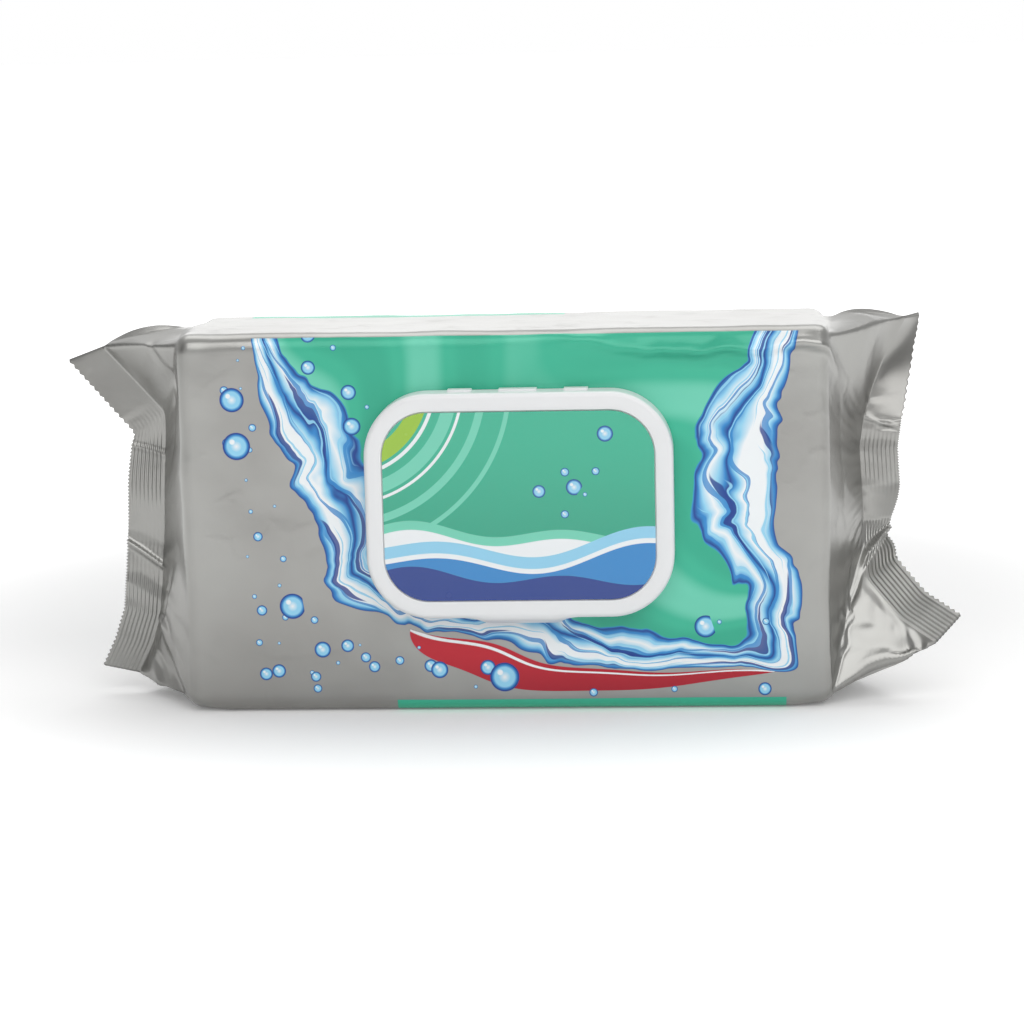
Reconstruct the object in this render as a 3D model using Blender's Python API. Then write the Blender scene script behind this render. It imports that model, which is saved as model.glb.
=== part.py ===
"""A flow-wrapped pack of wet wipes that stands on its long side, with a flip-top lid on its face.

Metres, +Z up, +X along the pack to the right, and the lid faces -Y. The origin is the middle of the
side that the pack stands on.
"""

import math

import bmesh
import bpy
from mathutils import Vector

# The filled part of the pack
PACK_LENGTH = 0.184
PACK_HEIGHT = 0.110
PACK_DEPTH = 0.058
EDGE_RADIUS = 0.0045
SHOULDER = 0.003

# The film between the filled part and its end seals, and the seals that close it
FREE_FILM = 0.031
SEAL_WIDTH = 0.011
SEAL_THICKNESS = 0.0008
CRIMP_RIDGES = 9
CRIMP_HEIGHT = 0.0003
FIN_WIDTH = 0.012
FIN_THICKNESS = 0.0009
FIN_STEP = 0.0003

# The flip-top lid
LID_WIDTH = 0.0875
LID_HEIGHT = 0.0645
LID_CORNER = 0.018
LID_OFFSET_X = 0.005
LID_CENTRE_UP = 0.0613
FRAME_DEPTH = 0.0027
FRAME_FLOOR = 0.0013
FRAME_WALL = 0.0016
WINDOW_WIDTH = 0.058
WINDOW_HEIGHT = 0.037
WINDOW_CORNER = 0.014
COLLAR_WALL = 0.0016
COLLAR_ABOVE_FRAME = 0.0032
COVER_DEPTH = 0.0063
COVER_WALL = 0.0016
COVER_TOP_WALL = 0.0020
COVER_EDGE_RADIUS = 0.0015
SKIRT_CLEARANCE = 0.0005
SKIRT_WALL = 0.0010
SKIRT_OVERLAP = 0.0020
TAB_WIDTH = 0.033
TAB_REACH = 0.0026
RIM_WIDTH = 0.005
LABEL_THICKNESS = 0.0003
LABEL_CLEARANCE = 0.0003
PEEL_MARGIN = 0.003
PEEL_THICKNESS = 0.0003
PEEL_TAB_WIDTH = 0.012
PEEL_TAB_REACH = 0.0018

# The living hinge: three webs, each (offset from the lid's middle, width)
HINGE_WEBS = ((-0.0165, 0.0068), (0.0, 0.0108), (0.0165, 0.0068))
HINGE_STAND_OUT = 0.0006
HINGE_ROOT = 0.0008
HINGE_LUG_LENGTH = 0.0018

# Spaces that are left between pieces
SEAT_GAP = 0.0003
PARTING_GAP = 0.0003

# Steps on the round parts and along the film
ARC_STEPS = 3
FACE_STEPS = 14
CORNER_STEPS = 8
TAB_STEPS = 10
COVER_EDGE_STEPS = 3
GATHER_STEPS = 3
SHARE_STEP = 0.01
STRAIGHT_SHARE = 0.95
SHARP_ANGLE = math.radians(40)

HALF_LENGTH = PACK_LENGTH / 2
HALF_DEPTH = PACK_DEPTH / 2
HALF_LOOP = PACK_HEIGHT + PACK_DEPTH
LID_BACK_Y = -HALF_DEPTH - SEAT_GAP
FRAME_FRONT_Y = LID_BACK_Y - FRAME_DEPTH
COVER_BACK_Y = FRAME_FRONT_Y - PARTING_GAP
COVER_FRONT_Y = COVER_BACK_Y - COVER_DEPTH
CEILING_Y = COVER_FRONT_Y + COVER_TOP_WALL
LABEL_RECESS = LABEL_THICKNESS + SEAT_GAP
CORNER_SHARE = HALF_DEPTH / HALF_LOOP

# Each end seal, from its lower tip to its upper tip. A row holds the share of the flattened film, how far
# the seal's inner edge stands out from the filled part and its depth, both as shares of the free film, its
# height as a share of the pack's, and the two angles in degrees at which the seal leaves that edge: up from
# level, and back from the face.
LEFT_SEAL = (
    (0.0, 0.69, 0.0, 0.052, 12, 0),
    (CORNER_SHARE / 2, 0.55, 0.0, 0.130, 15, 0),
    (CORNER_SHARE, 0.45, -0.03, 0.210, 15, 0),
    (0.34, 0.41, 0.0, 0.326, 6, 0),
    (0.50, 0.38, 0.03, 0.448, 2, 0),
    (0.66, 0.36, 0.0, 0.570, 0, 0),
    (0.80, 0.32, -0.03, 0.727, -22, 0),
    (1 - CORNER_SHARE, 0.32, -0.03, 0.770, -34, 0),
    (1 - CORNER_SHARE / 2, 0.61, 0.0, 0.859, -27, 0),
    (1.0, 0.91, 0.03, 0.949, -20, 0),
)
RIGHT_SEAL = (
    (0.0, 1.00, -0.72, 0.165, 45, 12),
    (CORNER_SHARE / 2, 0.68, -0.54, 0.212, 43, 12),
    (CORNER_SHARE, 0.38, -0.34, 0.308, 36, 10),
    (0.26, 0.38, -0.12, 0.396, 16, 24),
    (0.34, 0.38, -0.02, 0.450, 8, 18),
    (0.50, 0.37, 0.0, 0.545, 2, 5),
    (0.66, 0.35, 0.0, 0.645, 0, 0),
    (1 - CORNER_SHARE, 0.39, 0.03, 0.727, 0, 0),
    (0.88, 0.46, 0.06, 0.800, 5, 15),
    (0.94, 0.60, 0.16, 0.895, 10, 38),
    (1.0, 0.80, 0.26, 0.990, 0, 66),
)


def clear_scene():
    for old in list(bpy.data.objects):
        bpy.data.objects.remove(old)


def make_material(name, colour, roughness, metallic):
    material = bpy.data.materials.new(name)
    material.use_nodes = True
    shader = material.node_tree.nodes["Principled BSDF"]
    shader.inputs["Base Color"].default_value = (*colour, 1.0)
    shader.inputs["Roughness"].default_value = roughness
    shader.inputs["Metallic"].default_value = metallic
    return material


def add_object(name, bm, material):
    """Makes a named object of the faces, with their normals facing out."""
    bmesh.ops.recalc_face_normals(bm, faces=bm.faces)
    mesh = bpy.data.meshes.new(name)
    bm.to_mesh(mesh)
    bm.free()
    mesh.materials.append(material)
    mesh.shade_smooth()
    mesh.set_sharp_from_angle(angle=SHARP_ANGLE)
    made = bpy.data.objects.new(name, mesh)
    bpy.context.scene.collection.objects.link(made)
    return made


def put_origin(made, place):
    """Moves the object's origin to a point, and leaves its shape where it is."""
    place = Vector(place)
    for vertex in made.data.vertices:
        vertex.co -= place
    made.location = place


def bridge_rings(bm, rings, join_last_to_first=False):
    """Joins rings of points that match one by one with bands of faces."""
    following = rings[1:] + (rings[:1] if join_last_to_first else [])
    for ring, after in zip(rings, following):
        for i in range(len(ring)):
            j = (i + 1) % len(ring)
            bm.faces.new((ring[i], ring[j], after[j], after[i]))


# The film pack


def section_half():
    """Half of the filled pack's section: from the middle of its underside, up its face, to the middle of its top.

    Each point is (distance from the middle, height), and points also stand at the edges of the fin seal.
    """
    flat = HALF_DEPTH - EDGE_RADIUS
    points = [(0.0, 0.0), (flat / 2, 0.0)]
    for i in range(ARC_STEPS + 1):
        turn = math.pi / 2 * i / ARC_STEPS
        points.append((flat + EDGE_RADIUS * math.sin(turn), EDGE_RADIUS * (1 - math.cos(turn))))
    middle = PACK_HEIGHT / 2
    fin_edges = [FIN_WIDTH / 2, FIN_WIDTH / 2 + FIN_STEP]
    heights = [middle - edge for edge in reversed(fin_edges)] + [middle + edge for edge in fin_edges]
    low, high = EDGE_RADIUS, PACK_HEIGHT - EDGE_RADIUS
    half_steps = FACE_STEPS // 2
    for i in range(1, half_steps):
        heights.append(low + (heights[0] - low) * i / half_steps)
        heights.append(high - (high - heights[3]) * i / half_steps)
    points += [(HALF_DEPTH, height) for height in sorted(heights)]
    lower = [point for point in points if point[1] < EDGE_RADIUS + 1e-9]
    return points + [(across, PACK_HEIGHT - up) for across, up in reversed(lower)]


def on_fin(height):
    return abs(height - PACK_HEIGHT / 2) < FIN_WIDTH / 2 + FIN_STEP / 2


def film_share(across, height):
    """How far round the flattened film a point of the section lies: 0 at the lower tip, 1 at the upper one."""
    if height < EDGE_RADIUS and across < HALF_DEPTH:
        return (across + height) / HALF_LOOP
    if height > PACK_HEIGHT - EDGE_RADIUS and across < HALF_DEPTH:
        return 1 - (across + PACK_HEIGHT - height) / HALF_LOOP
    return (HALF_DEPTH + height) / HALF_LOOP


def seal_station(rows, share):
    """A point of the seal's inner edge and its direction to the outer edge, by straight steps between rows."""
    for low, high in zip(rows, rows[1:]):
        if share <= high[0] + 1e-9:
            break
    part = (share - low[0]) / (high[0] - low[0])
    reach, depth, height, up, back = (a + (b - a) * part for a, b in zip(low[1:], high[1:]))
    up, back = math.radians(up), math.radians(back)
    direction = Vector((math.cos(up) * math.cos(back), math.sin(back), math.sin(up) * math.cos(back)))
    return Vector((HALF_LENGTH + reach * FREE_FILM, depth * FREE_FILM, height * PACK_HEIGHT)), direction


def seal_facing(rows, share, direction):
    """The way that the face of the seal looks, which is towards the pack's face."""
    low = seal_station(rows, max(0.0, share - SHARE_STEP))[0]
    high = seal_station(rows, min(1.0, share + SHARE_STEP))[0]
    facing = (high - low).cross(direction).normalized()
    return -facing if facing.y > 0 else facing


def loop_of(front, back):
    """One closed ring from the front half and the back half, which share their first and last points."""
    return front + back[-2:0:-1]


def end_rings(rows, side):
    """The rings of one end, from its shoulder to its cut edge. side is 1 on the right and -1 on the left."""
    half = section_half()
    shares = [film_share(across, height) for across, height in half]
    stations = [seal_station(rows, share) for share in shares]
    facings = [seal_facing(rows, share, direction) for share, (_, direction) in zip(shares, stations)]
    last = len(half) - 1

    def filled(i, facing_sign):
        across, height = half[i]
        raised = FIN_THICKNESS if facing_sign > 0 and on_fin(height) else 0.0
        return Vector((HALF_LENGTH, facing_sign * (across + raised), height))

    def layer(i, facing_sign, along, ridge):
        inner, direction = stations[i]
        thickness = 0.0 if i in (0, last) else SEAL_THICKNESS / 2
        return inner + direction * along + facings[i] * (ridge - facing_sign * thickness)

    def ring(point_of):
        halves = [[point_of(i, facing_sign) for i in range(len(half))] for facing_sign in (-1, 1)]
        return [Vector((side * p.x, p.y, p.z)) for p in loop_of(*halves)]

    def shoulder(i, facing_sign):
        return filled(i, facing_sign) - Vector((SHOULDER, 0, 0))

    def past_shoulder(i, facing_sign):
        start = filled(i, facing_sign)
        return start + (layer(i, facing_sign, 0.0, 0.0) - start).normalized() * SHOULDER

    def round_shoulder(part):
        def point_of(i, facing_sign):
            ends = shoulder(i, facing_sign) * (1 - part) ** 2 + past_shoulder(i, facing_sign) * part**2
            return ends + filled(i, facing_sign) * 2 * part * (1 - part)

        return point_of

    def gathered(part):
        def point_of(i, facing_sign):
            return past_shoulder(i, facing_sign).lerp(layer(i, facing_sign, 0.0, 0.0), part)

        return point_of

    def crimped(step):
        along = SEAL_WIDTH * step / (2 * CRIMP_RIDGES)
        ridge = CRIMP_HEIGHT if step % 2 else -CRIMP_HEIGHT
        flat_edge = step in (0, 2 * CRIMP_RIDGES)
        return lambda i, facing_sign: layer(i, facing_sign, along, 0.0 if flat_edge else ridge)

    made = [ring(shoulder), ring(round_shoulder(0.5)), ring(past_shoulder)]
    made += [ring(gathered(step / GATHER_STEPS)) for step in range(1, GATHER_STEPS)]
    return made + [ring(crimped(step)) for step in range(2 * CRIMP_RIDGES + 1)]


def close_seal(bm, ring):
    """Closes the cut edge of a seal, between the points of its front layer and its back layer."""
    count = len(ring) // 2
    for i in range(count):
        corners = (ring[i], ring[i + 1], ring[-i - 1], ring[-i])
        bm.faces.new(tuple(dict.fromkeys(corners)))


def make_film_pack(material):
    bm = bmesh.new()
    left = end_rings(LEFT_SEAL, -1)
    right = end_rings(RIGHT_SEAL, 1)
    rings = [[bm.verts.new(point) for point in ring] for ring in left[::-1] + right]
    bridge_rings(bm, rings)
    close_seal(bm, rings[0])
    close_seal(bm, rings[-1])
    return add_object("film_pack", bm, material)


# The lid


def tab_height(across, width, reach):
    """How far a thumb tab stands out of an edge at a distance from its middle."""
    if abs(across) >= width / 2:
        return 0.0
    return reach * math.cos(math.pi * across / width) ** 2


def outline(width, height, corner, y, tab_width=TAB_WIDTH, tab_reach=0.0):
    """A rounded rectangle round the lid's middle at a depth y, as points, with a thumb tab in its lower edge."""
    across, up = width / 2 - corner, height / 2 - corner
    points = []
    for centre_x, centre_z, start in ((across, up, 0), (-across, up, 1), (-across, -up, 2), (across, -up, 3)):
        for i in range(CORNER_STEPS + 1):
            turn = math.pi / 2 * (start + i / CORNER_STEPS)
            points.append((centre_x + corner * math.cos(turn), centre_z + corner * math.sin(turn)))
        if start == 2:
            for i in range(TAB_STEPS + 1):
                x = (i / TAB_STEPS - 0.5) * min(tab_width, 2 * across * STRAIGHT_SHARE)
                points.append((x, -height / 2 - tab_height(x, tab_width, tab_reach)))
    return [Vector((LID_OFFSET_X + x, y, LID_CENTRE_UP + z)) for x, z in points]


def inset_outline(inset, y, tab_reach=0.0):
    """The lid's own outline, moved in from its edge by an inset."""
    return outline(LID_WIDTH - 2 * inset, LID_HEIGHT - 2 * inset, LID_CORNER - inset, y, tab_reach=tab_reach)


def window_outline(outset, y):
    """The outline of the window in the frame, moved out from its edge by an outset."""
    return outline(WINDOW_WIDTH + 2 * outset, WINDOW_HEIGHT + 2 * outset, WINDOW_CORNER + outset, y)


def add_hinge_lugs(made, low_y, high_y, material):
    """Joins the hinge's lugs to a lid piece, along its upper edge."""
    for number, (offset, width) in enumerate(HINGE_WEBS):
        bm = bmesh.new()
        bmesh.ops.create_cube(bm, size=1.0)
        top = LID_CENTRE_UP + LID_HEIGHT / 2
        size = Vector((width, high_y - low_y, HINGE_ROOT + HINGE_STAND_OUT))
        middle = Vector((LID_OFFSET_X + offset, (low_y + high_y) / 2, top + (HINGE_STAND_OUT - HINGE_ROOT) / 2))
        for vertex in bm.verts:
            vertex.co = Vector(a * b for a, b in zip(vertex.co, size)) + middle
        lug = add_object(f"{made.name}_lug_{number}", bm, material)
        lug.hide_render = True
        lug.display_type = "WIRE"
        union = made.modifiers.new(f"lug_{number}", "BOOLEAN")
        union.operation = "UNION"
        union.object = lug


def make_lid_frame(material):
    """The frame that is stuck to the film: a rim, a floor and a collar round the window."""
    floor_y = LID_BACK_Y - FRAME_FLOOR
    collar_y = FRAME_FRONT_Y - COLLAR_ABOVE_FRAME
    bm = bmesh.new()
    outlines = [
        inset_outline(0.0, LID_BACK_Y),
        inset_outline(0.0, FRAME_FRONT_Y),
        inset_outline(FRAME_WALL, FRAME_FRONT_Y),
        inset_outline(FRAME_WALL, floor_y),
        window_outline(COLLAR_WALL, floor_y),
        window_outline(COLLAR_WALL, collar_y),
        window_outline(0.0, collar_y),
        window_outline(0.0, LID_BACK_Y),
    ]
    bridge_rings(bm, [[bm.verts.new(p) for p in points] for points in outlines], join_last_to_first=True)
    frame = add_object("lid_frame", bm, material)
    add_hinge_lugs(frame, FRAME_FRONT_Y, FRAME_FRONT_Y + HINGE_LUG_LENGTH, material)
    return frame


def make_lid_cover(material):
    """The cover: a shallow shell with a recess for its label and a thumb tab."""
    edge = COVER_EDGE_RADIUS
    bm = bmesh.new()
    outlines = [inset_outline(RIM_WIDTH, COVER_FRONT_Y + LABEL_RECESS), inset_outline(RIM_WIDTH, COVER_FRONT_Y)]
    for i in range(COVER_EDGE_STEPS + 1):
        turn = math.pi / 2 * i / COVER_EDGE_STEPS
        inset, y = edge * (1 - math.sin(turn)), COVER_FRONT_Y + edge * (1 - math.cos(turn))
        outlines.append(inset_outline(inset, y, tab_reach=TAB_REACH * (COVER_FRONT_Y - y) / -COVER_DEPTH))
    outlines += [
        inset_outline(0.0, COVER_BACK_Y, tab_reach=TAB_REACH),
        inset_outline(COVER_WALL, COVER_BACK_Y),
        inset_outline(COVER_WALL, CEILING_Y),
    ]
    rings = [[bm.verts.new(p) for p in points] for points in outlines]
    bridge_rings(bm, rings)
    bm.faces.new(rings[0])
    bm.faces.new(rings[-1])
    cover = add_object("lid_cover", bm, material)
    add_hinge_lugs(cover, COVER_BACK_Y - HINGE_LUG_LENGTH, COVER_BACK_Y, material)
    return cover


def make_lid_skirt(material):
    """The skirt inside the cover, which fits round the frame's collar. It is a solid of its own, open in the middle."""
    skirt_in = COLLAR_WALL + SKIRT_CLEARANCE
    skirt_out = skirt_in + SKIRT_WALL
    root_y = CEILING_Y + SEAT_GAP
    tip_y = FRAME_FRONT_Y - COLLAR_ABOVE_FRAME + SKIRT_OVERLAP
    bm = bmesh.new()
    outlines = [
        window_outline(skirt_out, root_y),
        window_outline(skirt_out, tip_y),
        window_outline(skirt_in, tip_y),
        window_outline(skirt_in, root_y),
    ]
    bridge_rings(bm, [[bm.verts.new(p) for p in points] for points in outlines], join_last_to_first=True)
    return add_object("lid_skirt", bm, material)


def make_sheet(name, low, high, material):
    """A flat piece between two outlines that match."""
    bm = bmesh.new()
    rings = [[bm.verts.new(p) for p in points] for points in (low, high)]
    bridge_rings(bm, rings)
    bm.faces.new(rings[0])
    bm.faces.new(rings[1])
    return add_object(name, bm, material)


def make_lid_label(material):
    """The printed label in the recess of the cover."""
    inset = RIM_WIDTH + LABEL_CLEARANCE
    back = inset_outline(inset, COVER_FRONT_Y + LABEL_THICKNESS)
    return make_sheet("lid_label", back, inset_outline(inset, COVER_FRONT_Y), material)


def make_peel_seal(material):
    """The film seal over the slot that the wipes come out of, with a tab to pull it by."""

    def sheet_outline(y):
        width, height = WINDOW_WIDTH - 2 * PEEL_MARGIN, WINDOW_HEIGHT - 2 * PEEL_MARGIN
        return outline(width, height, WINDOW_CORNER - PEEL_MARGIN, y, PEEL_TAB_WIDTH, PEEL_TAB_REACH)

    return make_sheet("peel_seal", sheet_outline(LID_BACK_Y - PEEL_THICKNESS), sheet_outline(LID_BACK_Y), material)


def main():
    clear_scene()
    film = make_material("silver_film", (0.50, 0.50, 0.48), 0.35, 0.5)
    white = make_material("white_plastic", (0.90, 0.90, 0.90), 0.35, 0.0)
    print_film = make_material("green_label", (0.10, 0.50, 0.36), 0.30, 0.0)
    seal_film = make_material("seal_film", (0.75, 0.80, 0.80), 0.30, 0.2)
    make_film_pack(film)
    make_lid_frame(white)
    make_peel_seal(seal_film)
    cover = make_lid_cover(white)
    skirt = make_lid_skirt(white)
    label = make_lid_label(print_film)
    hinge_line = (LID_OFFSET_X, COVER_BACK_Y + PARTING_GAP / 2, LID_CENTRE_UP + LID_HEIGHT / 2 + HINGE_STAND_OUT)
    for piece in (cover, skirt, label):
        put_origin(piece, hinge_line)


main()
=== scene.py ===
"""Dresses the pack of wet wipes: printed metallised film, crimped end seals and a white flip-top lid."""

import math

import bmesh
import bpy
import numpy as np
from mathutils import Matrix, Vector, noise


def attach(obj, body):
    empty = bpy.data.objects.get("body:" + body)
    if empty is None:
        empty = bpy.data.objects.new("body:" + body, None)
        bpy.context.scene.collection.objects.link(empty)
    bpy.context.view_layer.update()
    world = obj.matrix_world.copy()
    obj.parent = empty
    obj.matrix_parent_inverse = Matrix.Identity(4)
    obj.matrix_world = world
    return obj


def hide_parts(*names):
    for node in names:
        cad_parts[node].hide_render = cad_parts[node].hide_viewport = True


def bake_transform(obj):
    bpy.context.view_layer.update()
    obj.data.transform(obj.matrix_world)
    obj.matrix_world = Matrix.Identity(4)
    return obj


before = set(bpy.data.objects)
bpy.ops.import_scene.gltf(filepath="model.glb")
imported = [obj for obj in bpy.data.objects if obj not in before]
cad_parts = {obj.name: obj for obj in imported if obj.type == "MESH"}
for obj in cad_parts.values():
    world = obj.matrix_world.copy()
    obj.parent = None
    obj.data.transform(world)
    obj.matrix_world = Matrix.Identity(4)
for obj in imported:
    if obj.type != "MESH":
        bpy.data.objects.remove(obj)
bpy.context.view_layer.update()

# The filled part of the pack, as in the solids
PACK_LENGTH = 0.184
PACK_HEIGHT = 0.110
PACK_DEPTH = 0.058
HALF_LENGTH = PACK_LENGTH / 2
HALF_DEPTH = PACK_DEPTH / 2
FREE_FILM = 0.031
SEAL_WIDTH = 0.011

# The film's own finer shape
EDGE_RADIUS = 0.0045
SHOULDER = 0.003
SEAL_THICKNESS = 0.0004
CRIMP_RIDGES = 9
CRIMP_HEIGHT = 0.00032
TOOTH_DEPTH = 0.0006
FIN_WIDTH = 0.012
FIN_THICKNESS = 0.0003
HALF_LOOP = PACK_DEPTH + PACK_HEIGHT - (4 - math.pi) * EDGE_RADIUS

# The lid, as in the solids
LID_WIDTH = 0.0875
LID_HEIGHT = 0.0645
LID_CORNER = 0.018
LID_OFFSET_X = 0.005
LID_CENTRE_UP = 0.0613
LID_BACK_Y = -0.0293
FRAME_FRONT_Y = -0.0320
FRAME_FLOOR_Y = -0.0306
FRAME_WALL = 0.0016
WINDOW_WIDTH = 0.058
WINDOW_HEIGHT = 0.037
WINDOW_CORNER = 0.014
COLLAR_WALL = 0.0016
COLLAR_FRONT_Y = -0.0352
COVER_BACK_Y = -0.0323
COVER_FRONT_Y = -0.0386
COVER_WALL = 0.0016
CEILING_Y = -0.0366
COVER_EDGE_RADIUS = 0.0015
SKIRT_CLEARANCE = 0.0005
SKIRT_WALL = 0.0010
SKIRT_Y = -0.0332
TAB_WIDTH = 0.033
TAB_REACH = 0.0026
RIM_WIDTH = 0.005
LABEL_THICKNESS = 0.0003
LABEL_RECESS = 0.0006
LABEL_CLEARANCE = 0.0003
PEEL_MARGIN = 0.003
PEEL_THICKNESS = 0.0003
PEEL_TAB_WIDTH = 0.012
PEEL_TAB_REACH = 0.0018
HINGE_WEBS = ((-0.0165, 0.0068), (0.0, 0.0108), (0.0165, 0.0068))
HINGE_STAND_OUT = 0.0006

# Points of the film's mesh
HALF_POINTS = 160
BODY_RINGS = 104
SHOULDER_RINGS = 5
FREE_RINGS = 40
RINGS_PER_RIDGE = 4
SEAL_RINGS = CRIMP_RIDGES * RINGS_PER_RIDGE

MM = 0.001
CORNER_SHARE = 0.170
EAR_TAUT = 0.85
FRONT_SWELL = 0.4
SWELL_LEAN = 0.3

# Each end seal, from its lower tip to its upper tip. A row holds the share of the flattened film, how far
# the seal's inner edge stands out from the filled part and its depth, both as shares of the free film, its
# height as a share of the pack's, the angles in degrees at which the seal leaves that edge, up from level
# and back from the face, and how far the free film swells on its way there, in millimetres.
LEFT_SEAL = (
    (0.0, 0.69, 0.0, 0.052, 12, 0, 0.0),
    (CORNER_SHARE / 2, 0.55, 0.0, 0.130, 15, 0, 0.4),
    (CORNER_SHARE, 0.45, -0.03, 0.210, 15, 0, 1.0),
    (0.34, 0.41, 0.0, 0.326, 6, 0, 0.8),
    (0.50, 0.38, 0.03, 0.448, 2, 0, 0.4),
    (0.66, 0.36, 0.0, 0.570, 0, 0, 0.4),
    (0.80, 0.32, -0.03, 0.727, -22, 0, 0.6),
    (1 - CORNER_SHARE, 0.32, -0.03, 0.770, -34, 0, 0.8),
    (1 - CORNER_SHARE / 2, 0.61, 0.0, 0.859, -27, 0, 1.5),
    (1.0, 0.91, 0.03, 0.949, -20, 0, 3.0),
)
RIGHT_SEAL = (
    (0.0, 1.00, -0.72, 0.158, 45, 12, 0.4),
    (CORNER_SHARE / 2, 0.68, -0.54, 0.212, 43, 12, 0.4),
    (CORNER_SHARE, 0.38, -0.34, 0.308, 36, 10, 0.6),
    (0.26, 0.38, -0.12, 0.396, 10, 50, 0.4),
    (0.34, 0.38, -0.02, 0.450, 2, 40, 0.3),
    (0.50, 0.37, 0.0, 0.545, 2, 5, 0.3),
    (0.66, 0.35, 0.0, 0.645, 0, 0, 0.4),
    (1 - CORNER_SHARE, 0.39, 0.03, 0.727, 0, 0, 0.8),
    (0.88, 0.46, 0.06, 0.800, 5, 15, 1.0),
    (0.94, 0.60, 0.16, 0.895, 10, 38, 1.5),
    (1.0, 0.80, 0.26, 0.990, 0, 66, 2.0),
)

# How strongly the ridges are pressed, at shares of the flattened film
PRESS_SHARES = (0.0, 0.10, 0.20, 0.30, 0.36, 0.46, 0.54, 0.66, 0.74, 0.80, 0.86, 1.0)
PRESS_LEFT = (0.35, 0.5, 0.6, 0.55, 0.3, 0.08, 0.08, 0.7, 0.8, 0.2, 0.0, 0.0)
PRESS_RIGHT = (1.0, 1.0, 0.95, 0.5, 0.05, 0.05, 0.45, 0.5, 0.2, 0.04, 0.0, 0.0)

# Sharp folds that run slantwise over a seal: the share of the film at its inner and at its outer edge, how
# far the fold reaches to either side as a share, and its height in millimetres
SEAL_FOLDS_LEFT = ((0.37, 0.45, 0.018, 1.3), (0.735, 0.79, 0.012, 0.7))
SEAL_FOLDS_RIGHT = ((0.225, 0.28, 0.022, 1.8), (0.83, 0.765, 0.016, 0.5))


# Node trees


class Tree:
    """Adds nodes to a node tree and joins them. A value is a number, a tuple or another node's output."""

    def __init__(self, tree):
        self.tree = tree

    def node(self, kind, inputs=(), **settings):
        made = self.tree.nodes.new(kind)
        for name, value in settings.items():
            setattr(made, name, value)
        for key, value in dict(inputs).items():
            self.put(made.inputs[key], value)
        return made

    def put(self, socket, value):
        if isinstance(value, bpy.types.NodeSocket):
            self.tree.links.new(value, socket)
        else:
            socket.default_value = value

    def math(self, operation, *values, clamp=False):
        made = self.node("ShaderNodeMath", dict(enumerate(values)), operation=operation, use_clamp=clamp)
        return made.outputs[0]

    def vector(self, operation, *values, scale=None):
        inputs = dict(enumerate(values))
        if scale is not None:
            inputs["Scale"] = scale
        made = self.node("ShaderNodeVectorMath", inputs, operation=operation)
        return made.outputs[1 if operation == "LENGTH" else 0]

    def times(self, first, second):
        return self.math("MULTIPLY", first, second)

    def plus(self, first, second):
        return self.math("ADD", first, second)

    def minus(self, first, second):
        return self.math("SUBTRACT", first, second)

    def divided(self, first, second):
        return self.math("DIVIDE", first, second)

    def larger(self, first, second):
        return self.math("MAXIMUM", first, second)

    def line(self, value, slope, start):
        """The value times slope, plus start."""
        return self.math("MULTIPLY_ADD", value, slope, start)

    def wave(self, value, length, start, height):
        """A sine wave over a value."""
        turn = self.line(value, 1 / length, start)
        return self.times(self.math("SINE", turn), height)

    def waves(self, value, first, second):
        """Two sine waves over a value. Each is (length, start, height)."""
        return self.plus(self.wave(value, *first), self.wave(value, *second))

    def ease(self, value, low, high, out_low=0.0, out_high=1.0):
        """out_low below low, out_high above high, and a smooth step between them."""
        inputs = {"Value": value, "From Min": low, "From Max": high, "To Min": out_low, "To Max": out_high}
        return self.node("ShaderNodeMapRange", inputs, interpolation_type="SMOOTHSTEP").outputs[0]

    def fall(self, value, low, high):
        """1 below low and 0 above high."""
        return self.ease(value, low, high, 1.0, 0.0)

    def inside(self, value, low, high, soft=0.3):
        """1 from low to high and 0 outside, with soft edges."""
        return self.times(self.ease(value, low - soft, low), self.fall(value, high, high + soft))

    def split(self, vector):
        return self.node("ShaderNodeSeparateXYZ", {0: vector}).outputs

    def at(self, x, y):
        return self.node("ShaderNodeCombineXYZ", {"X": x, "Y": y}).outputs[0]

    def place(self):
        """The place of a point in its object, in metres."""
        return self.node("ShaderNodeTexCoord").outputs["Object"]

    def noise(self, place, scale, detail=2.0):
        inputs = {"Vector": place, "Scale": scale, "Detail": detail}
        return self.node("ShaderNodeTexNoise", inputs).outputs

    def bump(self, height, strength, distance):
        inputs = {"Height": height, "Strength": strength, "Distance": distance}
        return self.node("ShaderNodeBump", inputs).outputs[0]

    def group(self, tree, inputs):
        return self.node("ShaderNodeGroup", inputs, node_tree=tree).outputs

    def mix(self, part, first, second):
        made = self.node("ShaderNodeMix", data_type="RGBA")
        self.put(made.inputs[0], part)
        self.put(made.inputs[6], first)
        self.put(made.inputs[7], second)
        return made.outputs[2]

    def ramp(self, value, stops):
        made = self.node("ShaderNodeValToRGB", {"Fac": value})
        elements = made.color_ramp.elements
        while len(elements) < len(stops):
            elements.new(1.0)
        for element, (place, colour) in zip(elements, stops):
            element.position = place
            element.color = colour
        return made.outputs[0]


def rgb(red, green, blue):
    """A colour from its 0 to 255 screen values."""
    return (*((value / 255) ** 2.2 for value in (red, green, blue)), 1.0)


DULL_SILVER = rgb(143, 142, 139)
SILVER = rgb(157, 157, 154)
MINT = rgb(62, 184, 150)
PALE_MINT = rgb(118, 214, 186)
DEEP_MINT = rgb(40, 158, 128)
LEAF = rgb(158, 200, 62)
WHITE_INK = rgb(246, 250, 252)
SKY = rgb(150, 214, 244)
BLUE = rgb(52, 138, 206)
NAVY = rgb(24, 60, 140)
RED = rgb(196, 34, 50)
DEEP_RED = rgb(160, 22, 42)
SEAL_GREY = rgb(206, 212, 212)
PALE_SEAL_GREY = rgb(222, 226, 226)


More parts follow.
